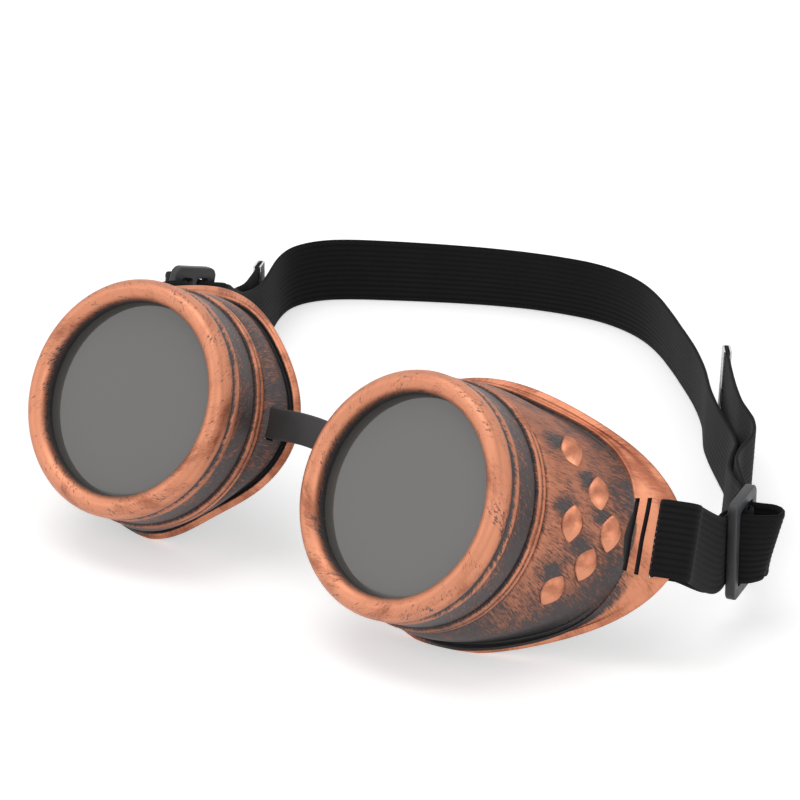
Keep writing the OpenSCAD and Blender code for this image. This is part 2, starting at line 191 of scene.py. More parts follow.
# Copper dragged over a dark ground with a nearly dry brush: streaks and worn patches
def dryBrushGroup():
    tree, given, result = newGroup("dryBrush", [("Vector", "vector", None), ("Coverage", "float", 0.5),
        ("Across", "float", 1.5), ("Along", "float", 0.2), ("Streaks", "float", 0.8),
        ("Patches", "float", 0.5), ("Edge", "float", 0.12)], [("Mask", "float"), ("Streak", "float")])
    get = given.outputs
    size = put(tree, "ShaderNodeCombineXYZ", {0: get["Across"], 1: get["Across"], 2: get["Along"]}).outputs[0]
    stretched = scaled(tree, get["Vector"], size)
    streak = noise(tree, stretched, 1.0, 4.0, Roughness=0.68, Distortion=0.9)
    patch = noise(tree, get["Vector"], 0.17, 3.0, Roughness=0.6)
    level = calc(tree, "MULTIPLY_ADD", calc(tree, "SUBTRACT", streak, 0.5), get["Streaks"], get["Coverage"])
    level = calc(tree, "MULTIPLY_ADD", calc(tree, "SUBTRACT", patch, 0.5), get["Patches"], level)
    low = calc(tree, "SUBTRACT", 0.5, get["Edge"])
    high = calc(tree, "ADD", 0.5, get["Edge"])
    tree.links.new(steps(tree, level, low, high), result.inputs["Mask"])
    tree.links.new(streak, result.inputs["Streak"])
    return tree


# Fine uneven grain of moulded or rolled surfaces
def grainGroup():
    tree, given, result = newGroup("fineGrain", [("Vector", "vector", None), ("Scale", "float", 900.0),
        ("Stretch", "vector", (1, 1, 1))], [("Grain", "float"), ("Cloud", "float")])
    get = given.outputs
    vector = scaled(tree, get["Vector"], get["Stretch"])
    grain = noise(tree, vector, get["Scale"], 3.0)
    cloud = noise(tree, vector, calc(tree, "MULTIPLY", get["Scale"], 0.08), 2.0)
    tree.links.new(grain, result.inputs["Grain"])
    tree.links.new(cloud, result.inputs["Cloud"])
    return tree


dryBrush = dryBrushGroup()
fineGrain = grainGroup()

copperTones = {
    "bright": (0.71, 0.29, 0.165, 1),
    "deep": (0.36, 0.12, 0.065, 1),
    "ground": (0.062, 0.054, 0.058, 1),
    "dust": (0.15, 0.105, 0.095, 1),
    "worn": (0.46, 0.19, 0.115, 1),
    # near black: the bare inside and the root groove, and the painted shade at the bottom and along the
    # flange root
    "blackAndShade": (0.012, 0.011, 0.012, 1),
}


def copperFinish(name, look):
    material, tree, surface = newMaterial(name)
    brush = put(tree, "ShaderNodeAttribute", attribute_name="brush").outputs["Vector"]
    paint = put(tree, "ShaderNodeAttribute", attribute_name="paint").outputs["Fac"]
    layer = put(tree, "ShaderNodeGroup", {}, node_tree=dryBrush)
    for key in ("Across", "Along", "Streaks", "Patches", "Edge"):
        layer.inputs[key].default_value = look[key]
    tree.links.new(brush, layer.inputs["Vector"])
    tree.links.new(paint, layer.inputs["Coverage"])
    mask = layer.outputs["Mask"]
    streak = layer.outputs["Streak"]
    tone = noise(tree, brush, 0.12, 3.0)
    tone = calc(tree, "MULTIPLY_ADD", calc(tree, "SUBTRACT", streak, 0.5), look["tone"], tone)
    copper = mixColour(tree, steps(tree, tone, look["deepTo"], look["brightFrom"]), copperTones["deep"],
        copperTones["bright"])
    copper = mixColour(tree, steps(tree, paint, 0.62, 0.86), copperTones["worn"], copper)
    ground = mixColour(tree, steps(tree, streak, 0.45, 0.75), copperTones["ground"], copperTones["dust"])
    # the lowest coverage goes near black, which also paints the shade at the bottom and along the flange root
    ground = mixColour(tree, steps(tree, paint, -0.12, 0.2), copperTones["blackAndShade"], ground)
    colour = mixColour(tree, mask, ground, copper)
    rough = steps(tree, streak, 0.3, 0.7, look["gloss"], look["gloss"] + 0.16)
    height = calc(tree, "MULTIPLY_ADD", mask, 0.6, streak)
    bump = put(tree, "ShaderNodeBump", {"Height": height, "Strength": look["relief"], "Distance": 0.0002})
    wire(tree, surface, colour=colour, roughness=rough, metallic=calc(tree, "MULTIPLY", mask, 0.78),
        normal=bump.outputs[0])
    return material


cupCopper = copperFinish("cupCopper", {"Across": 2.8, "Along": 0.5, "Streaks": 1.7, "Patches": 0.8,
    "Edge": 0.22, "tone": 0.6, "deepTo": 0.3, "brightFrom": 0.62, "gloss": 0.4, "relief": 0.6})
ringCopper = copperFinish("ringCopper", {"Across": 1.9, "Along": 1.1, "Streaks": 2.3, "Patches": 1.1,
    "Edge": 0.13, "tone": 0.45, "deepTo": 0.2, "brightFrom": 0.52, "gloss": 0.34, "relief": 0.35})
studCopper = copperFinish("studCopper", {"Across": 0.8, "Along": 0.5, "Streaks": 1.0, "Patches": 0.3,
    "Edge": 0.12, "tone": 0.25, "deepTo": 0.3, "brightFrom": 0.62, "gloss": 0.28, "relief": 0.3})


# Rubber and plastic: an even dark colour with fine grain and faint clouds
def mouldedFinish(name, look):
    material, tree, surface = newMaterial(name)
    place = put(tree, "ShaderNodeTexCoord").outputs["Object"]
    layer = put(tree, "ShaderNodeGroup", {}, node_tree=fineGrain)
    layer.inputs["Scale"].default_value = look["scale"]
    layer.inputs["Stretch"].default_value = look.get("stretch", (1, 1, 1))
    tree.links.new(place, layer.inputs["Vector"])
    cloud = steps(tree, layer.outputs["Cloud"], 0.35, 0.65)
    colour = mixColour(tree, cloud, look["dark"], look["light"])
    rough = steps(tree, layer.outputs["Cloud"], 0.3, 0.7, look["gloss"], look["gloss"] + look["spread"])
    bump = put(tree, "ShaderNodeBump", {"Height": layer.outputs["Grain"], "Strength": look["relief"],
        "Distance": 0.0001})
    surface.inputs["Metallic"].default_value = look.get("metallic", 0)
    wire(tree, surface, colour=colour, roughness=rough, normal=bump.outputs[0])
    return material


bridgeRubber = mouldedFinish("bridgeRubber", {"dark": (0.026, 0.026, 0.028, 1),
    "light": (0.034, 0.034, 0.036, 1), "scale": 1400, "gloss": 0.42, "spread": 0.1, "relief": 0.12})
gasketRubber = mouldedFinish("gasketRubber", {"dark": (0.012, 0.012, 0.012, 1),
    "light": (0.018, 0.018, 0.018, 1), "scale": 1600, "gloss": 0.6, "spread": 0.1, "relief": 0.1})
sliderPlastic = mouldedFinish("sliderPlastic", {"dark": (0.024, 0.025, 0.027, 1),
    "light": (0.036, 0.037, 0.04, 1), "scale": 2200, "gloss": 0.4, "spread": 0.14, "relief": 0.18})
tipSteel = mouldedFinish("tipSteel", {"dark": (0.62, 0.62, 0.63, 1), "light": (0.8, 0.8, 0.81, 1),
    "scale": 900, "stretch": (1, 1, 0.12), "gloss": 0.22, "spread": 0.16, "relief": 0.15, "metallic": 0.9})


def lensFinish():
    material, tree, surface = newMaterial("smokedLens")
    place = put(tree, "ShaderNodeTexCoord").outputs["Object"]
    layer = put(tree, "ShaderNodeGroup", {}, node_tree=fineGrain)
    layer.inputs["Scale"].default_value = 160
    tree.links.new(place, layer.inputs["Vector"])
    colour = mixColour(tree, steps(tree, layer.outputs["Cloud"], 0.3, 0.7), (0.112, 0.108, 0.1, 1),
        (0.12, 0.116, 0.108, 1))
    rough = steps(tree, layer.outputs["Grain"], 0.3, 0.7, 0.05, 0.08)
    surface.inputs["IOR"].default_value = 1.49
    surface.inputs["Transmission Weight"].default_value = 0.12
    surface.inputs["Coat Weight"].default_value = 0.2
    surface.inputs["Coat Roughness"].default_value = 0.04
    wire(tree, surface, colour=colour, roughness=rough)
    return material


# Matte black elastic: ribs along the band, fine picks across them, and painted shade in the valleys between
# the ribs
def webbingFinish():
    material, tree, surface = newMaterial("elasticWebbing")
    uv = put(tree, "ShaderNodeUVMap", uv_map="weave").outputs[0]
    split = put(tree, "ShaderNodeSeparateXYZ", {0: uv})
    along, across = split.outputs[0], split.outputs[1]
    picks = calc(tree, "SINE", calc(tree, "MULTIPLY", along, webbing["picks"] * 2 * math.pi))
    # painted shade: the colour darkens in the valleys between the ribs
    ribValleyShade = calc(tree, "COSINE", calc(tree, "MULTIPLY", across, webbing["ribs"] * math.pi))
    ribValleyShade = calc(tree, "POWER", calc(tree, "ABSOLUTE", ribValleyShade), 6.0)
    side = calc(tree, "SINE", calc(tree, "MULTIPLY", across, webbing["ribs"] * 2 * math.pi))
    knots = calc(tree, "MULTIPLY", picks, side)
    fuzz = noise(tree, uv, 30.0, 4.0)
    worn = noise(tree, uv, 1.1, 3.0)
    level = calc(tree, "MULTIPLY_ADD", knots, 0.06, calc(tree, "MULTIPLY_ADD", fuzz, 0.5, 0.25))
    level = calc(tree, "MULTIPLY_ADD", worn, 0.3, calc(tree, "SUBTRACT", level, 0.15))
    level = calc(tree, "MULTIPLY_ADD", ribValleyShade, -0.5, level)
    colour = mixColour(tree, steps(tree, level, 0.0, 0.95), (0.004, 0.004, 0.0045, 1),
        (0.014, 0.014, 0.0155, 1))
    bump = put(tree, "ShaderNodeBump", {"Height": calc(tree, "MULTIPLY_ADD", knots, 0.35, fuzz),
        "Strength": 0.3, "Distance": 0.0001})
    surface.inputs["Sheen Weight"].default_value = 0.05
    surface.inputs["Sheen Roughness"].default_value = 0.5
    surface.inputs["Specular IOR Level"].default_value = 0.16
    rough = steps(tree, fuzz, 0.2, 0.8, 0.78, 0.95)
    wire(tree, surface, colour=colour, roughness=rough, normal=bump.outputs[0])
    return material


webbing = {"width": 18.0, "thickness": 1.1, "ribs": 12, "ribHeight": 0.12, "picks": 9.0, "step": 0.9}
smokedLens = lensFinish()
elasticWebbing = webbingFinish()
print("materials made")


# The cups' shape

cup = {"eyeSpacing": 86, "toeIn": 2.6, "pitch": 29.4, "eyeHeight": 39.6, "middle": (5.26, -86, 0),
    "wall": 2, "beadStep": 0.5, "beadLen": 3.1, "rimStep": 2.8, "wingReach": 20, "wingAngle": 10,
    "noseLobe": 3.2, "cheekCut": 3.8, "noseWall": 7, "wingWall": 24, "flangeNose": 3, "flangeWing": 12.4,
    "flangeTop": 1.8, "flangeT": 1.8, "flangeLean": 30, "slotIn": 6.2, "slotStep": 2.4}
lensRing = {"lensR": 25, "lensT": 2.2, "lip": 1, "wall": 2.2, "len": 12, "crown": 2.2, "barrelWall": 2.5,
    "seat": 0.5, "gap": 0.1, "gasketT": 1, "lipLen": 2.6}

openingR = lensRing["lensR"] - lensRing["lip"]
barrelBore = lensRing["lensR"] - lensRing["seat"]
barrelR = barrelBore + lensRing["barrelWall"]
ringR = barrelR + lensRing["gap"] + lensRing["wall"]
beadR = ringR + cup["beadStep"]
rimR = beadR + cup["rimStep"]
slotR = rimR + cup["wingReach"] - cup["slotIn"]
slotAngle = cup["wingAngle"] + 1
gasketZ = lensRing["lipLen"] + 0.1 + lensRing["lensT"] + 0.05
barrelFront = gasketZ + lensRing["gasketT"] + 0.1
beadFront = lensRing["len"] + 0.4
beadBack = beadFront + cup["beadLen"]
noseDepth = beadBack + cup["noseWall"]
wingDepth = beadBack + cup["wingWall"]
shellR = beadR - 0.5
shellStart = beadBack - 0.9
bridgeDepth = beadBack + 1.6
strapGap = 0.45
slotHalf = math.degrees(math.asin((webbing["width"] / 2 + strapGap) / slotR))
flangeDir = np.array([math.cos(math.radians(cup["flangeLean"])), math.sin(math.radians(cup["flangeLean"]))])
flangeFront = np.array([flangeDir[1], -flangeDir[0]])


def cosd(a):
    return np.cos(np.radians(a))


def sind(a):
    return np.sin(np.radians(a))


# Local cup place (to the temple, back, up) to the model's frame, still in millimetres
def cupPoint(side, u, w, v):
    x = cup["eyeSpacing"] / 2 + u * cosd(cup["toeIn"]) + w * sind(cup["toeIn"])
    y = w * cosd(cup["toeIn"]) - u * sind(cup["toeIn"])
    p = cup["pitch"]
    return np.stack([side * x + cup["middle"][0], y * cosd(p) + v * sind(p) + cup["middle"][1],
        cup["eyeHeight"] + v * cosd(p) - y * sind(p)], axis=-1)


# The same move as a matrix in metres, for meshes made round the cup's own axis
def cupMatrix(side):
    origin = cupPoint(side, 0.0, 0.0, 0.0)
    columns = [cupPoint(side, *axis) - origin for axis in ((1.0, 0.0, 0.0), (0.0, 1.0, 0.0), (0.0, 0.0, 1.0))]
    matrix = Matrix.Identity(4)
    for column, axis in enumerate(columns):
        for row in range(3):
            matrix[row][column] = axis[row]
            matrix[row][3] = origin[row] * mm
    return matrix


def bell(a, centre, spread, power=2):
    away = np.abs((a - centre + 180) % 360 - 180)
    return np.exp(-(away / spread) ** power)


def swell(a, centre, power):
    return ((1 + cosd(a - centre)) / 2) ** power


def rimRadius(a):
    return (rimR + cup["wingReach"] * bell(a, cup["wingAngle"], 35, 1.7) + cup["noseLobe"] * bell(a, 170, 28)
        - cup["cheekCut"] * bell(a, 228, 30))


def rimDepth(a):
    return noseDepth + (wingDepth - noseDepth) * swell(a, cup["wingAngle"] + 2, 2.2)


def flangeWidth(a):
    return (cup["flangeNose"] + (cup["flangeWing"] - cup["flangeNose"]) * bell(a, cup["wingAngle"], 26)
        + cup["flangeTop"] * bell(a, 72, 30))


def rimEdge(a):
    return np.stack([rimRadius(a), rimDepth(a)], axis=-1)


def flangeRoot(a):
    return rimEdge(a) - flangeWidth(a)[..., None] * flangeDir


# A point on the cup's side wall, t of the way from the bead to the flange
def bodyPoint(a, t, inset):
    start = np.array([shellR, shellStart])
    run = flangeRoot(a) - start
    along = run / np.linalg.norm(run, axis=-1, keepdims=True)
    out = np.stack([along[..., 1], -along[..., 0]], axis=-1)
    return start + run * t[..., None] + out * (0.9 * np.sin(np.pi * t) - inset)[..., None]


def linkObject(name, mesh, material):
    piece = bpy.data.objects.new(name, mesh)
    bpy.context.collection.objects.link(piece)
    mesh.materials.append(material)
    return piece


def smoothShading(mesh, angle=32):
    mesh.polygons.foreach_set("use_smooth", [True] * len(mesh.polygons))
    mesh.set_sharp_from_angle(angle=math.radians(angle))


def outward(mesh):
    work = bmesh.new()
    work.from_mesh(mesh)
    bmesh.ops.recalc_face_normals(work, faces=work.faces)
    work.to_mesh(mesh)
    work.free()


# Mesh from rows of closed loops: points[row][place][xyz] in millimetres. closeRows joins the
# last row to the first, otherwise both ends get a cap
def loopMesh(name, points, closeRows=True, brush=None, paint=None, uv=None):
    rows, count = points.shape[:2]
    mesh = bpy.data.meshes.new(name)
    lastRow = rows if closeRows else rows - 1
    i, j = np.meshgrid(np.arange(lastRow), np.arange(count), indexing="ij")
    nextI, nextJ = (i + 1) % rows, (j + 1) % count
    faces = np.stack([i * count + j, nextI * count + j, nextI * count + nextJ, i * count + nextJ], axis=-1)
    faces = faces.reshape(-1, 4).tolist()
    if not closeRows:
        faces += [list(range(count)), list(range((rows - 1) * count, rows * count))]
    mesh.from_pydata((points.reshape(-1, 3) * mm).tolist(), [], faces)
    corners = np.zeros(len(mesh.loops), dtype=np.int32)
    mesh.loops.foreach_get("vertex_index", corners)
    if brush is not None:
        layer = mesh.attributes.new("brush", "FLOAT_VECTOR", "CORNER")
        layer.data.foreach_set("vector", brush.reshape(-1, 3)[corners].ravel().astype(np.float32))
    if paint is not None:
        layer = mesh.attributes.new("paint", "FLOAT", "CORNER")
        layer.data.foreach_set("value", paint.ravel()[corners].astype(np.float32))
    if uv is not None:
        layer = mesh.uv_layers.new(name="weave")
        layer.data.foreach_set("uv", uv.reshape(-1, 2)[corners].ravel().astype(np.float32))
    outward(mesh)
    return mesh


# Eye cups

# Each stud's turn from the slots and its share of the way from the bead to the flange
studPlaces = [(-0.8, 0.33), (-1.5, 0.76), (-13.5, 0.61), (11.5, 0.61), (-27.5, 0.43), (29, 0.42)]
stud = {"halfWidth": 2.7, "halfHeight": 4.5, "height": 1.7, "rows": 22, "columns": 14, "crest": 0.84}
cupDetail = {"angleSteps": 384, "bodySteps": 34, "flangeSteps": 12, "insideSteps": 14, "grooveDepth": 1.1,
    "ridgeHeight": 0.5, "drop": 0.014}
# How much copper covers the dark ground, and what each dark place takes away. The darkening at the bottom is
# thinner copper and painted shade; along the flange root and on the lower flange it is painted shade
cover = {"wall": 0.61, "bottom": 0.36, "nose": 0.3, "top": 0.06, "wing": 0.12, "lowerRootShade": 0.7,
    "upperRootShade": 0.16, "shadow": 0.5, "flange": 0.96, "patch": 0.62, "blackAndShade": 1.15}
openings = {"strapGap": 0.02, "strapEndGap": 0.08, "bridgeHalf": 0.88, "bridgeLow": 1.15, "bridgeHigh": 9.05,
    "spareHalf": 0.42, "spareLean": 0.1, "spareSteps": 24, "sheet": 1.04}


# [radius, depth, paint] from the back of the bore round the front to the bead's back
def barrelSection():
    front, back = barrelFront, beadBack
    low = barrelR - 0.3
    return np.array([
        (barrelBore, back - 0.1, 0), (barrelBore, back - 3, 0), (barrelBore, front + 4, 0),
        (barrelBore, front + 0.3, 0), (barrelBore + 0.2, front + 0.05, 0), (barrelBore + 0.5, front, 0),
        (low - 0.5, front, 0), (low - 0.15, front + 0.08, 0), (low, front + 0.3, 0), (low, front + 3, 0),
        (low, beadFront - 0.6, 0), (low, beadFront, 0), (low + 0.2, beadFront + 0.02, 0),
        (beadR - 1.6, beadFront, 0.1), (beadR - 0.6, beadFront, 0.35), (beadR - 0.25, beadFront + 0.08, 0.7),
        (beadR - 0.06, beadFront + 0.3, 0.86), (beadR, beadFront + 0.62, 0.9),
        (beadR - 0.02, beadFront + 0.95, 0.86), (beadR - 0.12, beadFront + 1.25, 0.7),
        (beadR - 0.38, beadFront + 1.5, 0.3), (beadR - 0.42, beadFront + 1.62, 0.3),
        (beadR - 0.12, beadFront + 1.85, 0.7), (beadR, beadFront + 2.2, 0.88),
        (beadR - 0.03, beadFront + 2.55, 0.84),
        (beadR - 0.2, beadFront + 2.85, 0.66), (beadR - 0.5, beadFront + 3.02, 0.4)])


# Every angle's closed outline as [radius, depth], with its paint cover
def cupSections():
    a = np.linspace(-90, 270, cupDetail["angleSteps"], endpoint=False)
    a = a + 9 * np.sin(np.radians(a - slotAngle - 180))  # closer together on the wing
    root = flangeRoot(a)
    width = flangeWidth(a)
    nose = swell(a, 180, 1.5)
    wing = swell(a, cup["wingAngle"], 2.0)
    bottom = bell(a, 282, 52)
    top = bell(a, 100, 40)
    columns, paints = [], []

    def add(points, paint):
        columns.append(np.broadcast_to(points, (len(a), 2)))
        paints.append(np.broadcast_to(paint, len(a)))

    for r, w, p in barrelSection():
        # the bead's copper is darker towards the bottom: painted shade
        add(np.array([r, w]), p * (1 - 0.25 * bottom) if p else 0.0)

    firstT = 1.25 / (root[:, 1] - shellStart)
    lower = bell(a, 304, 46)
    # darker towards the bottom: thinner copper and painted shade under the cup
    dark = cover["wall"] - cover["bottom"] * bottom - cover["nose"] * nose - cover["top"] * top
    for k in range(cupDetail["bodySteps"]):
        share = k / (cupDetail["bodySteps"] - 1)
        t = firstT + (0.93 - firstT) * share
        point = bodyPoint(a, t, 0)
        length = np.linalg.norm(root - np.array([shellR, shellStart]), axis=-1)
        near = np.exp(-((1 - share) / 0.26) ** 2)  # close to the flange
        paint = dark + cover["wing"] * (1 - share) * wing
        # painted shade in the crease along the flange root, strongest at the bottom and weaker on the upper
        # side
        paint = paint - near * (cover["lowerRootShade"] * lower + cover["upperRootShade"] * bell(a, 48, 36))
        for turn, place in studPlaces:  # the brush left dark shadows in front of and above each stud
            across = (a - slotAngle - turn) * np.radians(1) * point[:, 0]
            along = (t - place) * length
            paint = paint - cover["shadow"] * np.exp(-((across - 3.4) ** 2 / 5 + (along + 2.4) ** 2 / 6))
        add(point, paint)

    plain = 1 - bell(a, slotAngle, 17, 6)  # neither groove nor ridge beside the slots
    depth = cupDetail["grooveDepth"] * (0.25 + 0.75 * nose) * plain
    ridge = cupDetail["ridgeHeight"] * (0.35 + 0.65 * wing) * plain
    # the root groove is darker on the nose side and at the top, and painted shade darkens it at the bottom
    rootCover = 0.75 - 0.75 * nose - 0.25 * top - 0.6 * lower
    add(bodyPoint(a, np.full(len(a), 0.965), 0) - flangeFront * -0.1, rootCover - 0.3)
    add(root + 0.25 * flangeDir - flangeFront * (depth * 0.7)[:, None], rootCover - 0.35)
    add(root + 0.65 * flangeDir - flangeFront * depth[:, None] * 0.9, rootCover - 0.4)
    add(root + 0.95 * flangeDir - flangeFront * depth[:, None] * 0.35, rootCover - 0.1)
    # painted shade: at the bottom, the flange's root, ridge and inner half are painted near black
    blackAndShade = cover["blackAndShade"] * bell(a, 311, 42, 4)
    add(root + 1.15 * flangeDir + flangeFront * (ridge * 0.4)[:, None], 0.8 - 0.5 * nose - blackAndShade)
    add(root + 1.4 * flangeDir + flangeFront * ridge[:, None], 0.98 - blackAndShade)
    add(root + 1.75 * flangeDir + flangeFront * ridge[:, None] * 0.75, 0.95 - blackAndShade)

    lip = cup["flangeT"] / 2
    inner = 2.1
    outer = width - 2.0 * lip
    for k in range(cupDetail["flangeSteps"]):
        share = k / (cupDetail["flangeSteps"] - 1)
        x = inner + np.maximum(outer - inner, 0.05) * share
        channel = -0.45 * wing * plain * np.sin(np.pi * share) ** 0.8
        paint = cover["flange"] - cover["patch"] * bell(a, 112, 17) * math.exp(-(share / 0.6) ** 2)
        # painted shade on the inner half of the flange at the bottom
        paint = paint - blackAndShade * math.exp(-(share / 0.42) ** 2)
        add(root + x[:, None] * flangeDir + flangeFront * channel[:, None], paint)
    for turn in range(15, 180, 15):  # the rolled edge
        x = width - lip + lip * math.sin(math.radians(turn))
        y = -lip + lip * math.cos(math.radians(turn)) + 0.12 * math.sin(math.radians(turn))
        add(root + x[:, None] * flangeDir + flangeFront * y, 0.95 if turn < 120 else 0.5)
    for x in (0.75, 0.5, 0.25):
        add(root + (x * (width - 2 * lip) + 0.9 * (1 - x))[:, None] * flangeDir - flangeFront * 2 * lip, 0.12)
    add(root + 0.9 * flangeDir - flangeFront * 2 * lip, 0.0)
    for k in range(cupDetail["insideSteps"]):
        t = 0.86 * (1 - k / (cupDetail["insideSteps"] - 1))
        add(bodyPoint(a, np.full(len(a), t), cup["wall"]), 0.0)
    return a, np.stack(columns, axis=1), np.stack(paints, axis=1)


def boxPoints(low, high):
    return [(x, y, z) for x in (low[0], high[0]) for y in (low[1], high[1]) for z in (low[2], high[2])]


boxFaces = [(0, 1, 3, 2), (4, 6, 7, 5), (0, 4, 5, 1), (2, 3, 7, 6), (0, 2, 6, 4), (1, 5, 7, 3)]


def slotDepth():
    root = flangeRoot(np.array([float(slotAngle)]))[0]
    lean = math.radians(cup["flangeLean"])
    return root[1] + (slotR - root[0]) * math.tan(lean) + cup["flangeT"] / 2 / math.cos(lean)


# Local cup place of a point given out along the flange, square behind it and along the slot
def fromSlot(x, y, z):
    lean = math.radians(cup["flangeLean"])
    r = slotR + x * math.cos(lean) - y * math.sin(lean)
    w = slotDepth() + x * math.sin(lean) + y * math.cos(lean)
    return (r * cosd(slotAngle) - z * sind(slotAngle), w, r * sind(slotAngle) + z * cosd(slotAngle))


# All the openings of one cup as one cutting shape
def slotCutter(side):
    verts, faces = [], []

    def block(points):
        start = len(verts)
        verts.extend(points)
        faces.extend([tuple(start + i for i in face) for face in boxFaces])

    half = webbing["thickness"] / 2 + openings["strapGap"]
    tall = webbing["width"] / 2 + openings["strapEndGap"]
    block([fromSlot(*p) for p in boxPoints((-half, -4, -tall), (half, 4, tall))])
    block(boxPoints((-shellR - 4, bridgeDepth - openings["bridgeHalf"], openings["bridgeLow"]),
        (-shellR + 4, bridgeDepth + openings["bridgeHalf"], openings["bridgeHigh"])))
    for n in (1, 2):  # two spare slots, curved round the eye, leaning out to the back
        r = slotR - n * cup["slotStep"]
        drop = n * cup["slotStep"] * math.tan(math.radians(cup["flangeLean"]))
        face = slotDepth() - openings["sheet"] - drop
        count = openings["spareSteps"]
        start = len(verts)
        for k in range(count + 1):
            angle = slotAngle - slotHalf + 2 * slotHalf * k / count
            for radius, depth in ((-1, 0), (1, 0), (1, 1), (-1, 1)):
                w = noseDepth + depth * cup["wingWall"]
                radial = r + radius * openings["spareHalf"] + openings["spareLean"] * (w - face)
                verts.append((radial * cosd(angle), w, radial * sind(angle)))
        for k in range(count):
            for c in range(4):
                q = start + 4 * k
                faces.append((q + c, q + (c + 1) % 4, q + 4 + (c + 1) % 4, q + 4 + c))
        faces.append(tuple(start + c for c in (3, 2, 1, 0)))
        faces.append(tuple(start + 4 * count + c for c in range(4)))
    mesh = bpy.data.meshes.new("slotCutter")
    placed = cupPoint(side, *[np.array([float(v[i]) for v in verts]) for i in range(3)])
    mesh.from_pydata((placed * mm).tolist(), [], faces)
    outward(mesh)
    return linkObject("slotCutter", mesh, cupCopper)


def makeCup(side, name):
    a, section, paint = cupSections()
    u = section[..., 0] * cosd(a)[:, None]
    v = section[..., 0] * sind(a)[:, None]
    points = cupPoint(side, u, section[..., 1], v)
    points[..., 2] = np.maximum(points[..., 2], 0)  # the foot is ground flat
    # The brush went from the bead to the rim, dropping as it went on the upper and outer side
    run = np.cumsum(np.linalg.norm(np.diff(section, axis=1, prepend=section[:, :1]), axis=-1), axis=1)
    run = run - run[:, len(barrelSection()):len(barrelSection()) + 1]
    turned = np.radians(a)[:, None] + cupDetail["drop"] * swell(a, 50, 1)[:, None] * run
    brush = np.stack([34 * np.cos(turned), 34 * np.sin(turned), run], axis=-1)
    mesh = loopMesh(name, points, brush=brush, paint=paint)
    piece = linkObject(name, mesh, cupCopper)
    cutter = slotCutter(side)
    cut = piece.modifiers.new("slots", "BOOLEAN")
    cut.operation = "DIFFERENCE"
    cut.solver = "EXACT"
    cut.object = cutter
    graph = bpy.context.evaluated_depsgraph_get()
    piece.data = bpy.data.meshes.new_from_object(piece.evaluated_get(graph))
    piece.modifiers.clear()
    bpy.data.objects.remove(cutter)
    smoothShading(piece.data, 38)
    return piece


# Empty Geometry Nodes tree with named inputs, ending in Realize Instances and Set Material
def freshTree(name, inputs):
    tree = bpy.data.node_groups.new(name, "GeometryNodeTree")
    kinds = {"geometry": "NodeSocketGeometry", "float": "NodeSocketFloat", "int": "NodeSocketInt",
        "object": "NodeSocketObject", "material": "NodeSocketMaterial"}
    for label, kind in inputs:
        tree.interface.new_socket(label, in_out="INPUT", socket_type=kinds[kind])
    tree.interface.new_socket("Geometry", in_out="OUTPUT", socket_type="NodeSocketGeometry")
    given = put(tree, "NodeGroupInput")
    real = put(tree, "GeometryNodeRealizeInstances")
    dressed = put(tree, "GeometryNodeSetMaterial", {"Geometry": real.outputs[0],
        "Material": given.outputs["Finish"]})
    put(tree, "NodeGroupOutput", {"Geometry": dressed.outputs[0]})
    return tree, given.outputs, real.inputs[0]


# Run a Geometry Nodes tree with its inputs set, and keep the result as a plain mesh
def grow(name, tree, values, start=None):
    carrier = bpy.data.objects.new(name, start or bpy.data.meshes.new(name))
    bpy.context.collection.objects.link(carrier)
    modifier = carrier.modifiers.new(tree.name, "NODES")
    modifier.node_group = tree
    sockets = {item.name: item.identifier for item in tree.interface.items_tree if item.in_out == "INPUT"}
    for label, value in values.items():
        modifier[sockets[label]] = value
    graph = bpy.context.evaluated_depsgraph_get()
    mesh = bpy.data.meshes.new_from_object(carrier.evaluated_get(graph))
    bpy.data.objects.remove(carrier)
    piece = bpy.data.objects.new(name, mesh)
    bpy.context.collection.objects.link(piece)
    return piece


# One raised scale of unit size: it swells up from its front edge to a crest and drops off behind
def studShape():
    places = np.linspace(-0.985, 0.985, stud["rows"])
    share = np.linspace(0, 1, stud["columns"])
    share = np.concatenate([share[:-2], [stud["crest"] + 0.06, 0.96, 1.0]])
    rise = np.where(share < stud["crest"], np.sin(np.pi / 2 * np.minimum(share / stud["crest"], 1)) ** 0.85,
        1 - ((share - stud["crest"]) / (1 - stud["crest"])) ** 1.6)
    rows, cover = [], []
    for y in places:
        width = 1 - y * y
        top = [(x * width, y, z * width ** 0.8 - 0.15 * y * y) for x, z in zip(2 * share - 1, rise)]
        rows.append(top + [(x * 0.97, y, -0.15 * y * y - 0.35) for x, _, _ in top[::-1]])
        cover.append([0.5 + 0.5 * min(1, 6 * a) - 0.6 * (a > 0.9) for a in share] + [0.0] * len(share))
    points = np.array(rows)
    scale = np.array([stud["halfWidth"], stud["halfHeight"], stud["height"]])
    mesh = loopMesh("stud", points / mm, closeRows=False, brush=points * scale, paint=np.array(cover))
    smoothShading(mesh, 50)
    return linkObject("stud", mesh, studCopper)


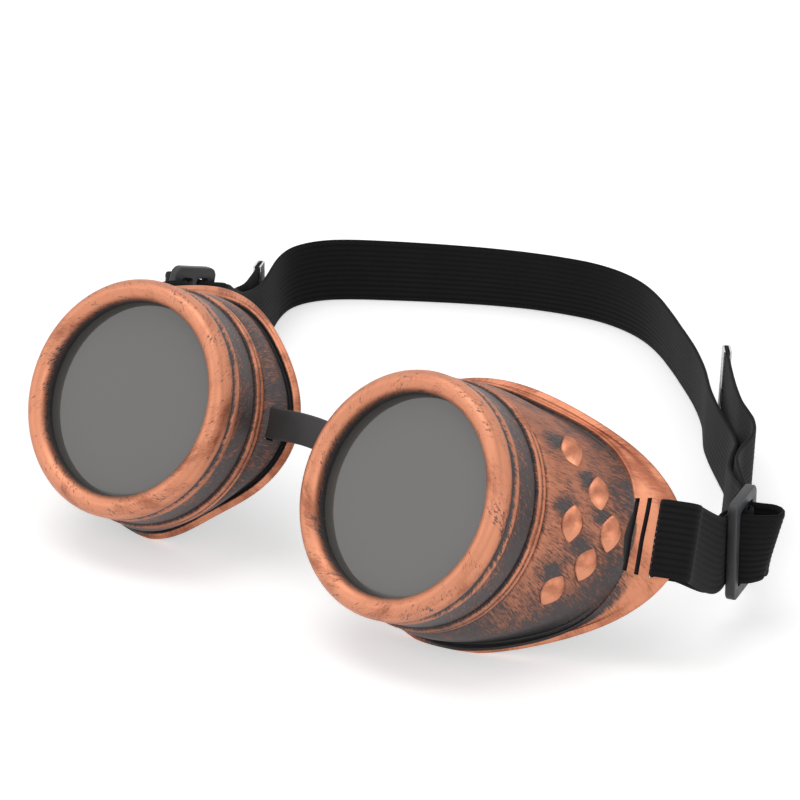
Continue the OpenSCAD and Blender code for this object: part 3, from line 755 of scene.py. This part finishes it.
def studTree():
    tree, given, end = freshTree("studs", [("Geometry", "geometry"), ("Shape", "object"),
        ("Half Width", "float"), ("Half Height", "float"), ("Height", "float"), ("Finish", "material")])
    outwards = put(tree, "GeometryNodeInputNamedAttribute", {"Name": "outwards"}, data_type="FLOAT_VECTOR")
    backwards = put(tree, "GeometryNodeInputNamedAttribute", {"Name": "backwards"}, data_type="FLOAT_VECTOR")
    turn = put(tree, "FunctionNodeAxesToRotation", {0: outwards.outputs[0], 1: backwards.outputs[0]},
        primary_axis="Z", secondary_axis="X")
    size = put(tree, "ShaderNodeCombineXYZ", {0: given["Half Width"], 1: given["Half Height"],
        2: given["Height"]})
    shape = put(tree, "GeometryNodeObjectInfo", {"Object": given["Shape"]})
    copies = put(tree, "GeometryNodeInstanceOnPoints", {"Points": given["Geometry"],
        "Instance": shape.outputs["Geometry"], "Rotation": turn.outputs[0], "Scale": size.outputs[0]})
    tree.links.new(copies.outputs[0], end)
    return tree


def makeStuds(side, name, shape, tree):
    places, out3, back3 = [], [], []
    for turn, t in studPlaces:
        angle = np.array([float(slotAngle + turn)])
        foot = bodyPoint(angle, np.array([t]), 0.12)[0]
        ahead = bodyPoint(angle, np.array([t + 0.03]), 0.12)[0] - foot
        out = np.array([ahead[1], -ahead[0]]) / np.linalg.norm(ahead)
        place, tip, behind = [cupPoint(side, p[0] * cosd(angle[0]), p[1], p[0] * sind(angle[0]))
            for p in (foot, foot + out, foot + ahead)]
        places.append(place * mm)
        out3.append(tip - place)
        back3.append(behind - place)
    start = bpy.data.meshes.new(name)
    start.from_pydata([tuple(p) for p in places], [], [])
    for label, values in (("outwards", out3), ("backwards", back3)):
        layer = start.attributes.new(label, "FLOAT_VECTOR", "POINT")
        layer.data.foreach_set("vector", np.array(values).ravel())
    return grow(name, tree, {"Shape": shape, "Half Width": stud["halfWidth"] * mm,
        "Half Height": stud["halfHeight"] * mm, "Height": stud["height"] * mm, "Finish": studCopper}, start)


thread = {"pitch": 2.5, "turns": 2.5, "ridge": 0.42, "crest": barrelR + 0.02, "points": 96}


# Ridge that winds round an axis: the screw thread on the barrel
def threadTree():
    tree, given, end = freshTree("threadRidge", [("Radius", "float"), ("Pitch", "float"), ("Turns", "float"),
        ("Ridge", "float"), ("Points", "int"), ("Finish", "material")])
    rise = calc(tree, "MULTIPLY", given["Pitch"], given["Turns"])
    spiral = put(tree, "GeometryNodeCurveSpiral", {"Resolution": given["Points"], "Rotations": given["Turns"],
        "Start Radius": given["Radius"], "End Radius": given["Radius"], "Height": rise})
    outline = put(tree, "GeometryNodeCurvePrimitiveCircle", {"Resolution": 4, "Radius": given["Ridge"]},
        mode="RADIUS")
    sweep = put(tree, "GeometryNodeCurveToMesh", {"Curve": spiral.outputs[0],
        "Profile Curve": outline.outputs[0], "Fill Caps": True})
    tree.links.new(sweep.outputs[0], end)
    return tree


def makeThread(side, name, tree):
    piece = grow(name, tree, {"Radius": (thread["crest"] - thread["ridge"]) * mm,
        "Pitch": thread["pitch"] * mm, "Turns": thread["turns"], "Ridge": thread["ridge"] * mm,
        "Points": thread["points"], "Finish": gasketRubber})
    back = Matrix.Translation((0, (barrelFront + 0.6) * mm, 0)) @ Matrix.Rotation(math.radians(-90), 4, "X")
    piece.data.transform(cupMatrix(side) @ back)
    outward(piece.data)
    smoothShading(piece.data, 50)
    return piece


studOriginal = studShape()
studs = studTree()
threads = threadTree()
for side, hand in ((1, "right"), (-1, "left")):
    shell = makeCup(side, hand + "CupShell")
    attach(shell, hand + "_cup")
    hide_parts(hand + "_eye_cup")
    domes = makeStuds(side, hand + "CupStuds", studOriginal, studs)
    ridge = makeThread(side, hand + "BarrelThread", threads)
    for extra in (domes, ridge):
        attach(extra, hand + "_cup")
        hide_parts(hand + "_eye_cup")
bpy.data.objects.remove(studOriginal)
print("eye cups made")


# Lens rings, lenses and gaskets

# [radius, depth, paint] outline turned round the cup's axis
def turned(name, side, outline, material, around=256, paintTwist=0.0):
    outline = np.array(outline, dtype=float)
    a = np.linspace(0, 360, around, endpoint=False)
    r, w = outline[:, 0][None, :], outline[:, 1][None, :]
    depth = np.broadcast_to(w, (around, len(outline)))
    points = cupPoint(side, r * cosd(a)[:, None], depth, r * sind(a)[:, None])
    run = np.cumsum(np.linalg.norm(np.diff(outline[:, :2], axis=0, prepend=outline[:1, :2]), axis=-1))
    turn = np.radians(a)[:, None] + paintTwist * run[None, :]
    brush = np.stack([29 * np.cos(turn), 29 * np.sin(turn), np.broadcast_to(run, turn.shape)], axis=-1)
    paint = np.broadcast_to(outline[:, 2], (around, len(outline)))
    mesh = loopMesh(name, points, brush=brush, paint=paint)
    smoothShading(mesh, 40)
    return linkObject(name, mesh, material)


def ringOutline():
    o, r, crown = openingR, ringR, lensRing["crown"]
    bore = barrelR + lensRing["gap"]
    pocket = lensRing["lensR"] + 0.2
    end = lensRing["len"]
    pocketEnd = barrelFront - 0.2
    lip = lensRing["lipLen"]
    return [(o, lip, 0), (o, lip - 0.5, 0.02), (o, 1.2, 0.1), (o, 0.6, 0.35), (o, 0.15, 0.6),
        (o + 0.12, -0.35, 0.68), (o + 0.35, -0.8, 0.76), (o + 0.7, -1.25, 0.82), (o + 1.2, -1.7, 0.84),
        (o + 1.8, -2.0, 0.84), (o + 2.5, -crown, 0.84), (o + 3.1, -crown + 0.05, 0.83),
        (o + 3.7, -1.88, 0.81), (o + 4.2, -1.5, 0.78), (o + 4.6, -1.0, 0.75), (r - 0.38, -0.45, 0.85),
        (r - 0.12, 0.1, 0.83), (r - 0.01, 0.7, 0.8), (r, 1.4, 0.78), (r - 0.02, 2.0, 0.7),
        (r - 0.12, 2.45, 0.55), (r - 0.4, 2.8, 0.3), (r - 0.75, 3.05, 0.08), (r - 0.95, 3.3, 0),
        (r - 0.95, 3.65, 0), (r - 0.8, 3.9, 0.15), (r - 0.42, 4.1, 0.5), (r - 0.14, 4.4, 0.72),
        (r - 0.04, 4.8, 0.76), (r - 0.06, 5.2, 0.66), (r - 0.2, 5.55, 0.48), (r - 0.38, 5.8, 0.38),
        (r - 0.42, 6.2, 0.36), (r - 0.41, 7, 0.3), (r - 0.39, 8.2, 0.22), (r - 0.36, 9.6, 0.18),
        (r - 0.33, 10.8, 0.18), (r - 0.32, 11.4, 0.24), (r - 0.38, 11.75, 0.34),
        (r - 0.6, end - 0.05, 0.25), (r - 0.9, end, 0.1), (bore + 0.3, end, 0), (bore, end - 0.25, 0),
        (bore, pocketEnd + 0.3, 0), (bore, pocketEnd, 0), (pocket, pocketEnd, 0), (pocket, lip, 0),
        (o + 0.5, lip, 0)]


def lensOutline():
    r, front = lensRing["lensR"], lensRing["lipLen"] + 0.1
    back = front + lensRing["lensT"]
    return [(0.001, front), (8, front), (16, front), (21, front), (r - 0.5, front),
        (r - 0.2, front + 0.06), (r, front + 0.3), (r, back - 0.3), (r - 0.2, back - 0.06),
        (r - 0.5, back), (21, back), (16, back),
        (8, back), (0.001, back)]


# Disc with rounded edges, closed at its poles
def makeLens(name, side):
    outline = np.array(lensOutline())
    around = 128
    a = np.linspace(0, 360, around, endpoint=False)
    rim = outline[1:-1]
    verts = [cupPoint(side, 0.0, outline[0, 1], 0.0)]
    for r, w in rim:
        verts += list(cupPoint(side, r * cosd(a), np.full(around, w), r * sind(a)))
    verts.append(cupPoint(side, 0.0, outline[-1, 1], 0.0))
    faces = []
    for j in range(around):
        nextJ = (j + 1) % around
        faces.append((0, 1 + nextJ, 1 + j))
        for k in range(len(rim) - 1):
            row = 1 + k * around
            faces.append((row + j, row + nextJ, row + around + nextJ, row + around + j))
        row = 1 + (len(rim) - 1) * around
        faces.append((row + j, row + nextJ, len(verts) - 1))
    mesh = bpy.data.meshes.new(name)
    mesh.from_pydata([tuple(p * mm) for p in verts], [], faces)
    outward(mesh)
    smoothShading(mesh, 40)
    return linkObject(name, mesh, smokedLens)


def gasketOutline():
    low, high = openingR - 0.2, lensRing["lensR"]
    front, back = gasketZ, gasketZ + lensRing["gasketT"]
    return [(low, front + 0.25, 0), (low + 0.1, front + 0.06, 0), (low + 0.3, front, 0),
        (high - 0.25, front, 0), (high - 0.06, front + 0.08, 0), (high, front + 0.3, 0),
        (high, back - 0.3, 0), (high - 0.08, back - 0.06, 0), (high - 0.3, back, 0),
        (low + 0.3, back, 0), (low + 0.08, back - 0.08, 0), (low, back - 0.3, 0)]


for side, hand in ((1, "right"), (-1, "left")):
    ring = turned(hand + "LensRing", side, ringOutline(), ringCopper, paintTwist=0.03)
    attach(ring, hand + "_ring")
    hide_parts(hand + "_lens_ring")
    glass = makeLens(hand + "SmokedLens", side)
    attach(glass, hand + "_glazing")
    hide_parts(hand + "_lens")
    seal = turned(hand + "LensGasket", side, gasketOutline(), gasketRubber, around=128)
    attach(seal, hand + "_glazing")
    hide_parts(hand + "_lens_gasket")
print("rings and lenses made")


# Nose bridge

bridge = {"height": 7.6, "thickness": 1.6, "arch": 1.6, "up": 4.8, "steps": 56, "corner": 0.45,
    "headT": 1.4, "headOver": 2.6, "headDepth": 2.6, "headCorner": 0.5, "bendHalf": 11.5}


# Closed outline of a rounded rectangle
def roundedPath(width, height, corner, perCorner):
    points = []
    for sx, sy, first in ((1, 1, 0), (-1, 1, 90), (-1, -1, 180), (1, -1, 270)):
        for k in range(perCorner):
            angle = first + 90 * k / (perCorner - 1)
            points.append((sx * (width / 2 - corner) + corner * cosd(angle),
                sy * (height / 2 - corner) + corner * sind(angle)))
    return np.array(points)


def makeBridge():
    headIn = shellR - cup["wall"] - 1.5
    bandEnd = headIn - bridge["headT"] / 2
    root = cup["eyeSpacing"] / 2 - bandEnd * cosd(cup["toeIn"]) + bridgeDepth * sind(cup["toeIn"])
    depth = bridgeDepth * cosd(cup["toeIn"]) + bandEnd * sind(cup["toeIn"])
    p = cup["pitch"]
    outline = roundedPath(bridge["height"], bridge["thickness"], bridge["corner"], 4)
    rows = []
    for k in range(bridge["steps"] + 1):
        s = 2 * k / bridge["steps"] - 1
        rise = bridge["up"] + bridge["arch"] * (1 - s * s) ** 2
        slope = bridge["arch"] * 2 * (1 - s * s) * -2 * s / root
        lean = np.array([-slope, 1.0]) / math.hypot(1, slope)
        x = s * root + outline[:, 0] * lean[0]
        up = rise + outline[:, 0] * lean[1]
        back = depth + outline[:, 1]
        rows.append(np.stack([x + cup["middle"][0], back * cosd(p) + up * sind(p) + cup["middle"][1],
            cup["eyeHeight"] + up * cosd(p) - back * sind(p)], axis=-1))
    band = loopMesh("noseBand", np.array(rows), closeRows=False)
    work = bmesh.new()
    work.from_mesh(band)
    for side in (-1, 1):  # the wide head behind each cup's wall
        head = roundedPath(bridge["height"] + bridge["headOver"], bridge["headDepth"],
            bridge["headCorner"], 4)
        place = np.array([cupPoint(side, np.full(len(head), -headIn + x), bridgeDepth + 0.4 + head[:, 1] * f,
            bridge["up"] + head[:, 0] * f) for x, f in ((0, 0.92), (0.25, 1), (bridge["headT"] - 0.25, 1),
            (bridge["headT"], 0.92))])
        work.from_mesh(loopMesh("bridgeHead", place, closeRows=False))
    mesh = bpy.data.meshes.new("noseBridge")
    work.to_mesh(mesh)
    work.free()
    smoothShading(mesh, 40)
    return linkObject("noseBridge", mesh, bridgeRubber)


noseBridge = makeBridge()
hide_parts("nose_bridge")
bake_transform(noseBridge)
print("nose bridge made")


# Head strap

slider = {"len": 15, "t": 2.4, "bar": 3, "mid": 2, "gap": 0.3, "exit": 9, "corner": 2.4, "bevel": 0.45,
    "loopOut": 7.4, "sides": 7}
clip = {"len": 5, "metal": 0.5, "over": 0.8}
loopOut = slider["loopOut"]
strapFloor = webbing["width"] / 2 + 0.05
sliderW = webbing["width"] + slider["sides"]
tailIn = slider["t"] / 2 + slider["gap"] + webbing["thickness"] / 2
mainIn = tailIn + webbing["thickness"] + slider["gap"]
tailPass = slider["len"] / 2 - slider["bar"] - slider["gap"] - webbing["thickness"] / 2
mainPass = slider["mid"] / 2 + slider["gap"] + webbing["thickness"] / 2
sliderPlace = {1: np.array([93.4, 63.9, 19.4]), -1: np.array([-92.3, 74.5, 25])}
sliderTurn = {1: 17, -1: 4}
sliderDrop = {1: 0, -1: 18}

# across, back, height above the table, lean to the side, lean to the back
mainRun = [(79.4, 79.5, 8.5, 0.06, 0), (72.3, 87.5, 6.5, 0.08, 0), (65.6, 98, 4.1, 0.09, 0),
    (60, 107.6, 2, 0.09, 0), (53, 116, 0.6, 0.08, 0), (42.3, 126, 0, 0.06, 0), (32.8, 135.3, 0, 0.05, 0),
    (24.4, 145.4, 0, 0.02, -0.06), (14.4, 155.3, 0, 0, -0.08), (3, 164.8, 0, 0, -0.1),
    (-7, 172.7, 0, 0, -0.1), (-17, 179.6, 0, 0, -0.1), (-28, 184.4, 0, 0, -0.1), (-42, 185.6, 0, 0, -0.12),
    (-60, 180.8, 0, 0, -0.14), (-78, 172.1, 0, 0, -0.1), (-96.4, 160.8, 0, 0, -0.03),
    (-106, 153.8, 0, 0, 0), (-110.6, 148.3, 0, 0, 0), (-112.6, 142.5, 0, 0, 0), (-112.2, 137, 0, 0, 0),
    (-109.7, 130.5, 0, 0, 0), (-105.8, 123.2, 0, 0, 0), (-101.8, 115.3, 0.2, 0, 0),
    (-98.2, 106.5, 1.5, 0, 0.03), (-94.5, 97, 4.6, 0.02, 0.08), (-91, 89, 9.2, 0.02, 0.2)]
rightTail = [(81.5, 79.7, 10.4, 0.05, 0), (75.7, 86.2, 10.5, 0.05, 0), (72.8, 92.5, 10.5, 0.05, 0),
    (70.6, 100, 10.5, 0.05, 0), (65.6, 107.2, 10.5, 0.05, 0), (57.2, 114.2, 10.5, 0.05, 0),
    (48.3, 123.4, 10.6, 0.05, 0), (38.8, 134.4, 10.6, 0.05, 0)]
leftTail = [(-93.4, 90, 8.6, 0.02, 0.2), (-97.8, 98, 4.2, 0, 0.08), (-101.2, 104.5, 2.2, 0, 0),
    (-102.6, 110, 1.8, 0, 0), (-106.4, 118, 1.8, 0, 0)]


def unit(v):
    return v / np.linalg.norm(v)


def freeStation(row):
    return np.array([row[0], row[1], row[2] + strapFloor]), unit(np.array([row[3], row[4], 1.0]))


def tailStations(rows):
    s = curveStations(rows)
    ahead = unit(s[-1][0] - s[-2][0])
    return s + [(s[-1][0] + d * ahead, s[-1][1]) for d in (0.6, clip["len"] + 1)]


# Smooth course through the rows, two stations for each
def curveStations(rows):
    rows = [np.array(row, dtype=float) for row in rows]
    last = len(rows) - 1
    result = []
    for i in range(last):
        a, b, c, d = rows[max(i - 1, 0)], rows[i], rows[i + 1], rows[min(i + 2, last)]
        for t in (0, 0.5):
            result.append(freeStation(0.5 * (2 * b + (c - a) * t + (2 * a - 5 * b + 4 * c - d) * t * t
                + (3 * b - a - 3 * c + d) * t ** 3)))
    return result + [freeStation(rows[last])]


def sliderDir(side, v):
    d, t = sliderDrop[side], sliderTurn[side]
    y = v[1] * cosd(d) + v[2] * sind(d)
    z = v[2] * cosd(d) - v[1] * sind(d)
    return np.array([side * (v[0] * cosd(t) - y * sind(t)), v[0] * sind(t) + y * cosd(t), z])


def sliderStations(side, layer):
    return [(sliderPlace[side] + sliderDir(side, (out, along, 0)), unit(sliderDir(side, (spread, 0, 1))))
        for along, out, spread in layer]


# The free end's way in, its loop outside the slider and its way out
def tailLayer():
    wayIn = [(slider["exit"], -tailIn, 0), (tailPass + 1.6, -tailIn, 0), (tailPass + 0.75, -tailIn + 0.1, 0),
        (tailPass + 0.2, -slider["t"] / 2 - 0.35, 0), (tailPass, -0.9, 0), (tailPass, 0.4, 0)]
    loop = [(0.3 - tailPass, 2, 0.03), (0.9 - tailPass, 0.5 * loopOut, 0.1), (-1.3, 0.78 * loopOut, 0.18),
        (0, 0.94 * loopOut, 0.24), (1.5, loopOut, 0.26), (2.9, 0.94 * loopOut, 0.24),
        (3.8, 0.76 * loopOut, 0.18),
        (4, 0.5 * loopOut, 0.1), (tailPass + 0.15, 2, 0.03)]
    return [(-p[0], p[1], p[2]) for p in wayIn] + loop + wayIn[::-1]


def mainLayer():
    half = [(slider["exit"], -mainIn), (tailPass + 1.8, -mainIn), (tailPass + 0.2, 0.25 - mainIn),
        (mainPass + 0.85, -2.5), (mainPass + 0.2, -1.5), (mainPass, -0.5), (mainPass, 0.6),
        (mainPass - 0.15, slider["t"] / 2 + 0.15), (mainPass - 0.7, tailIn - 0.05),
        (mainPass - 1.5, tailIn + 0.2)]
    return [(-p[0], p[1], 0) for p in half] + [(p[0], p[1], 0) for p in half[::-1]]


# Through the cup's slot, from the outer layer to the inner one
def slotStations(side):
    off = (cup["flangeT"] + webbing["thickness"]) / 2 + 0.65
    back = off + 1.75
    tip = cup["slotIn"] / cosd(cup["flangeLean"]) + 1.4
    course = [(tip + 0.1, 1.6), (tip + 0.2, 0.2), (tip - 0.2, -1), (tip - 1.2, 0.1 - off),
        (tip - 3, -off - 0.1), (2.6, -off), (1.2, 0.25 - off), (0.3, 0.9 - off), (0, 0),
        (0.05, back - 2), (0.4, back - 0.9),
        (1.3, back - 0.2), (2.6, back), (5.4, back + 0.1)]
    shift = np.array(cup["middle"])
    upper = cupPoint(side, *fromSlot(0, 0, 1)) - cupPoint(side, *fromSlot(0, 0, 0))
    return [(cupPoint(side, *fromSlot(x, y, 0)) - shift, upper) for x, y in course]


def sideStations(side, tail):
    return [("tail", tailStations(tail)[::-1]), ("loop", sliderStations(side, tailLayer())[::-1]),
        ("temple", slotStations(side)), ("pass", sliderStations(side, mainLayer()))]


# Denser stations on a curve through the given ones, and where each given one falls
def smoothCourse(stations, step):
    places = [p for p, e in stations]
    places = [2 * places[0] - places[1]] + places + [2 * places[-1] - places[-2]]
    course, marks = [], []
    for i in range(1, len(places) - 2):
        p = places[i - 1:i + 3]
        knots = np.cumsum([0] + [max(np.linalg.norm(p[k + 1] - p[k]), 0.01) ** 0.5 for k in range(3)])
        count = max(1, int(math.ceil(np.linalg.norm(p[2] - p[1]) / step)))
        marks.append(len(course))
        for k in range(count):
            t = knots[1] + (knots[2] - knots[1]) * k / count
            level = list(p)
            for width in (1, 2, 3):
                nextLevel = []
                for m in range(len(level) - 1):
                    if width < 3:
                        t0, t1 = knots[m], knots[m + width]
                    else:
                        t0, t1 = knots[1], knots[2]
                    nextLevel.append((level[m] * (t1 - t) + level[m + 1] * (t - t0)) / (t1 - t0))
                level = nextLevel
            share = k / count
            course.append((level[0], unit(stations[i - 1][1] * (1 - share) + stations[i][1] * share)))
    marks.append(len(course))
    course.append(stations[-1])
    return course, marks


# Closed outline of the band: ribs on both faces and round selvedges
def webbingOutline():
    half, thick = webbing["width"] / 2, webbing["thickness"] / 2
    edge = 0.45
    y = np.linspace(-half + edge, half - edge, webbing["ribs"] * 4 + 1)
    rib = thick - webbing["ribHeight"] * (1 - np.abs(np.sin(np.pi * webbing["ribs"] * (y + half - edge)
        / (2 * (half - edge)))) ** 0.7)
    upper = np.stack([y, rib], axis=-1)
    selvedge = thick - webbing["ribHeight"]
    turn = [(half - edge + edge * sind(a), selvedge * cosd(a)) for a in (35, 65, 90, 115, 145)]
    lower = np.stack([y[::-1], -rib[::-1]], axis=-1)
    back = [(-x, -z) for x, z in turn]
    return np.concatenate([upper, np.array(turn), lower, np.array(back)])


strapParts = ([("right" + name.capitalize(), s) for name, s in sideStations(1, rightTail)]
    + [("mainRun", curveStations(mainRun))]
    + [("left" + name.capitalize(), s[::-1]) for name, s in sideStations(-1, leftTail)[::-1]])
allStations = [station for name, part in strapParts for station in part]
course, marks = smoothCourse(allStations, webbing["step"])
placeOf = {}
count = 0
for name, part in strapParts:
    placeOf[name] = (marks[count], marks[count + len(part) - 1])
    count += len(part)

coursePoints = np.array([p for p, e in course])
ahead = np.gradient(coursePoints, axis=0)
ahead /= np.linalg.norm(ahead, axis=1, keepdims=True)
facing = np.cross(ahead, np.array([e for p, e in course]))
facing /= np.linalg.norm(facing, axis=1, keepdims=True)
upwards = np.cross(facing, ahead)
coursePoints = coursePoints + np.array(cup["middle"])
runLength = np.concatenate([[0], np.cumsum(np.linalg.norm(np.diff(coursePoints, axis=0), axis=1))])
bandOutline = webbingOutline()
outlineShare = (bandOutline[:, 0] + webbing["width"] / 2) / webbing["width"]


# Stretch of the webbing between two stations of the course
def bandPiece(name, first, last):
    pick = slice(first, last + 1)
    points = (coursePoints[pick, None, :] + upwards[pick, None, :] * bandOutline[None, :, :1]
        + facing[pick, None, :] * bandOutline[None, :, 1:])
    uv = np.stack(np.broadcast_arrays(runLength[pick, None] / 10, outlineShare[None, :]), axis=-1)
    mesh = loopMesh(name, points, closeRows=False, uv=uv)
    smoothShading(mesh, 50)
    piece = linkObject(name, mesh, elasticWebbing)
    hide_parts("head_strap")
    return piece


def alongRun(share):
    first, last = placeOf["mainRun"]
    target = runLength[first] + share * (runLength[last] - runLength[first])
    return int(np.searchsorted(runLength, target))


# The loop and the pass through each slider follow that slider; the other stretches stay in place
for hand in ("right", "left"):
    body, holder = hand + "_cup", hand + "_adjuster"
    tail, loop = placeOf[hand + "Tail"], placeOf[hand + "Loop"]
    temple, through = placeOf[hand + "Temple"], placeOf[hand + "Pass"]
    if hand == "right":
        free = bandPiece("rightTailWebbing", tail[0], loop[0])
        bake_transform(free)
        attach(bandPiece("rightLoopWebbing", loop[0], loop[1]), holder)
        outer = bandPiece("rightOuterWebbing", loop[1], temple[0] + 12)
        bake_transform(outer)
        inner = bandPiece("rightInnerWebbing", temple[0] + 12, through[0])
        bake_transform(inner)
        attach(bandPiece("rightPassWebbing", through[0], through[1]), holder)
    else:
        free = bandPiece("leftTailWebbing", loop[1], tail[1])
        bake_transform(free)
        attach(bandPiece("leftLoopWebbing", loop[0], loop[1]), holder)
        outer = bandPiece("leftOuterWebbing", temple[1] - 12, loop[0])
        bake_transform(outer)
        inner = bandPiece("leftInnerWebbing", through[1], temple[1] - 12)
        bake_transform(inner)
        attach(bandPiece("leftPassWebbing", through[0], through[1]), holder)

rightHold, leftHold = alongRun(0.14), alongRun(0.84)
firstRun = bandPiece("rightRunWebbing", placeOf["rightPass"][1], rightHold)
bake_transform(firstRun)
backRun = bandPiece("backRunWebbing", rightHold, leftHold)
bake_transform(backRun)
lastRun = bandPiece("leftRunWebbing", leftHold, placeOf["leftPass"][0])
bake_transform(lastRun)
print("strap made")


# Sliders and strap tips

# Ladder plate with rounded edges, its middle bar between two openings
def makeSlider(side, name):
    curve = bpy.data.curves.new(name, "CURVE")
    curve.dimensions = "2D"
    curve.fill_mode = "BOTH"
    curve.extrude = (slider["t"] / 2 - slider["bevel"]) * mm
    curve.bevel_depth = slider["bevel"] * mm
    curve.bevel_resolution = 3
    curve.offset = -slider["bevel"] * mm
    opening = slider["len"] / 2 - slider["bar"] - slider["mid"] / 2
    tall = webbing["width"] + 2 * strapGap
    paths = [(0, roundedPath(slider["len"], sliderW, slider["corner"], 7))]
    for place in (-1, 1):
        paths.append((place * (slider["mid"] + opening) / 2, roundedPath(opening, tall, 0.5, 4)[::-1]))
    for centre, path in paths:
        spline = curve.splines.new("POLY")
        spline.points.add(len(path) - 1)
        for point, (x, y) in zip(spline.points, path):
            point.co = ((x + centre) * mm, y * mm, 0, 1)
        spline.use_cyclic_u = True
    holder = bpy.data.objects.new(name, curve)
    bpy.context.collection.objects.link(holder)
    graph = bpy.context.evaluated_depsgraph_get()
    mesh = bpy.data.meshes.new_from_object(holder.evaluated_get(graph))
    bpy.data.objects.remove(holder)
    work = bmesh.new()
    work.from_mesh(mesh)
    bmesh.ops.remove_doubles(work, verts=work.verts, dist=1e-6)
    bmesh.ops.recalc_face_normals(work, faces=work.faces)
    work.to_mesh(mesh)
    work.free()
    axes = [sliderDir(side, v) for v in ((0, 1, 0), (0, 0, 1), (1, 0, 0))]
    place = (sliderPlace[side] + np.array(cup["middle"])) * mm
    matrix = Matrix.Identity(4)
    for row in range(3):
        for column in range(3):
            matrix[row][column] = axes[column][row]
        matrix[row][3] = place[row]
    mesh.transform(matrix)
    outward(mesh)
    smoothShading(mesh, 35)
    mesh.materials.clear()
    return linkObject(name, mesh, sliderPlastic)


# Sheet metal folded round the webbing's end, in the frame of the band there
def makeTip(name, index, inwards):
    inside = webbing["thickness"] / 2 + 0.05
    outside = inside + clip["metal"]
    reach = clip["len"] - clip["over"]
    outline = [(-reach, inside), (-reach, outside - 0.12), (-reach + 0.12, outside)]
    outline += [(clip["over"] - outside + outside * sind(a), outside * cosd(a)) for a in range(0, 181, 15)]
    outline += [(-reach + 0.12, -outside), (-reach, -outside + 0.12), (-reach, -inside)]
    outline += [(0.3 - inside + inside * sind(a), -inside * cosd(a)) for a in range(0, 181, 20)]
    outline = np.array(outline)
    half = webbing["width"] / 2 + 0.3
    out = -inwards * ahead[index]
    rows = []
    for height, shrink in ((-half, 0.1), (-half + 0.1, 0), (-half + 6, 0), (half - 6, 0), (half - 0.1, 0),
            (half, 0.1)):
        along = outline[:, 0:1]
        through = outline[:, 1:2] * (1 - shrink * 0.1)
        rows.append(coursePoints[index] + out * along + facing[index] * through + upwards[index] * height)
    mesh = loopMesh(name, np.array(rows), closeRows=False)
    smoothShading(mesh, 35)
    return linkObject(name, mesh, tipSteel)


for side, hand in ((1, "right"), (-1, "left")):
    buckle = makeSlider(side, hand + "Slider")
    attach(buckle, hand + "_adjuster")
    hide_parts(hand + "_slider")
for hand, index, inwards in (("right", 0, 1), ("left", len(course) - 1, -1)):
    tip = makeTip(hand + "StrapTip", index, inwards)
    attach(tip, hand + "_cup")
    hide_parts(hand + "_strap_tip")
print("sliders and tips made")

print("scene done")
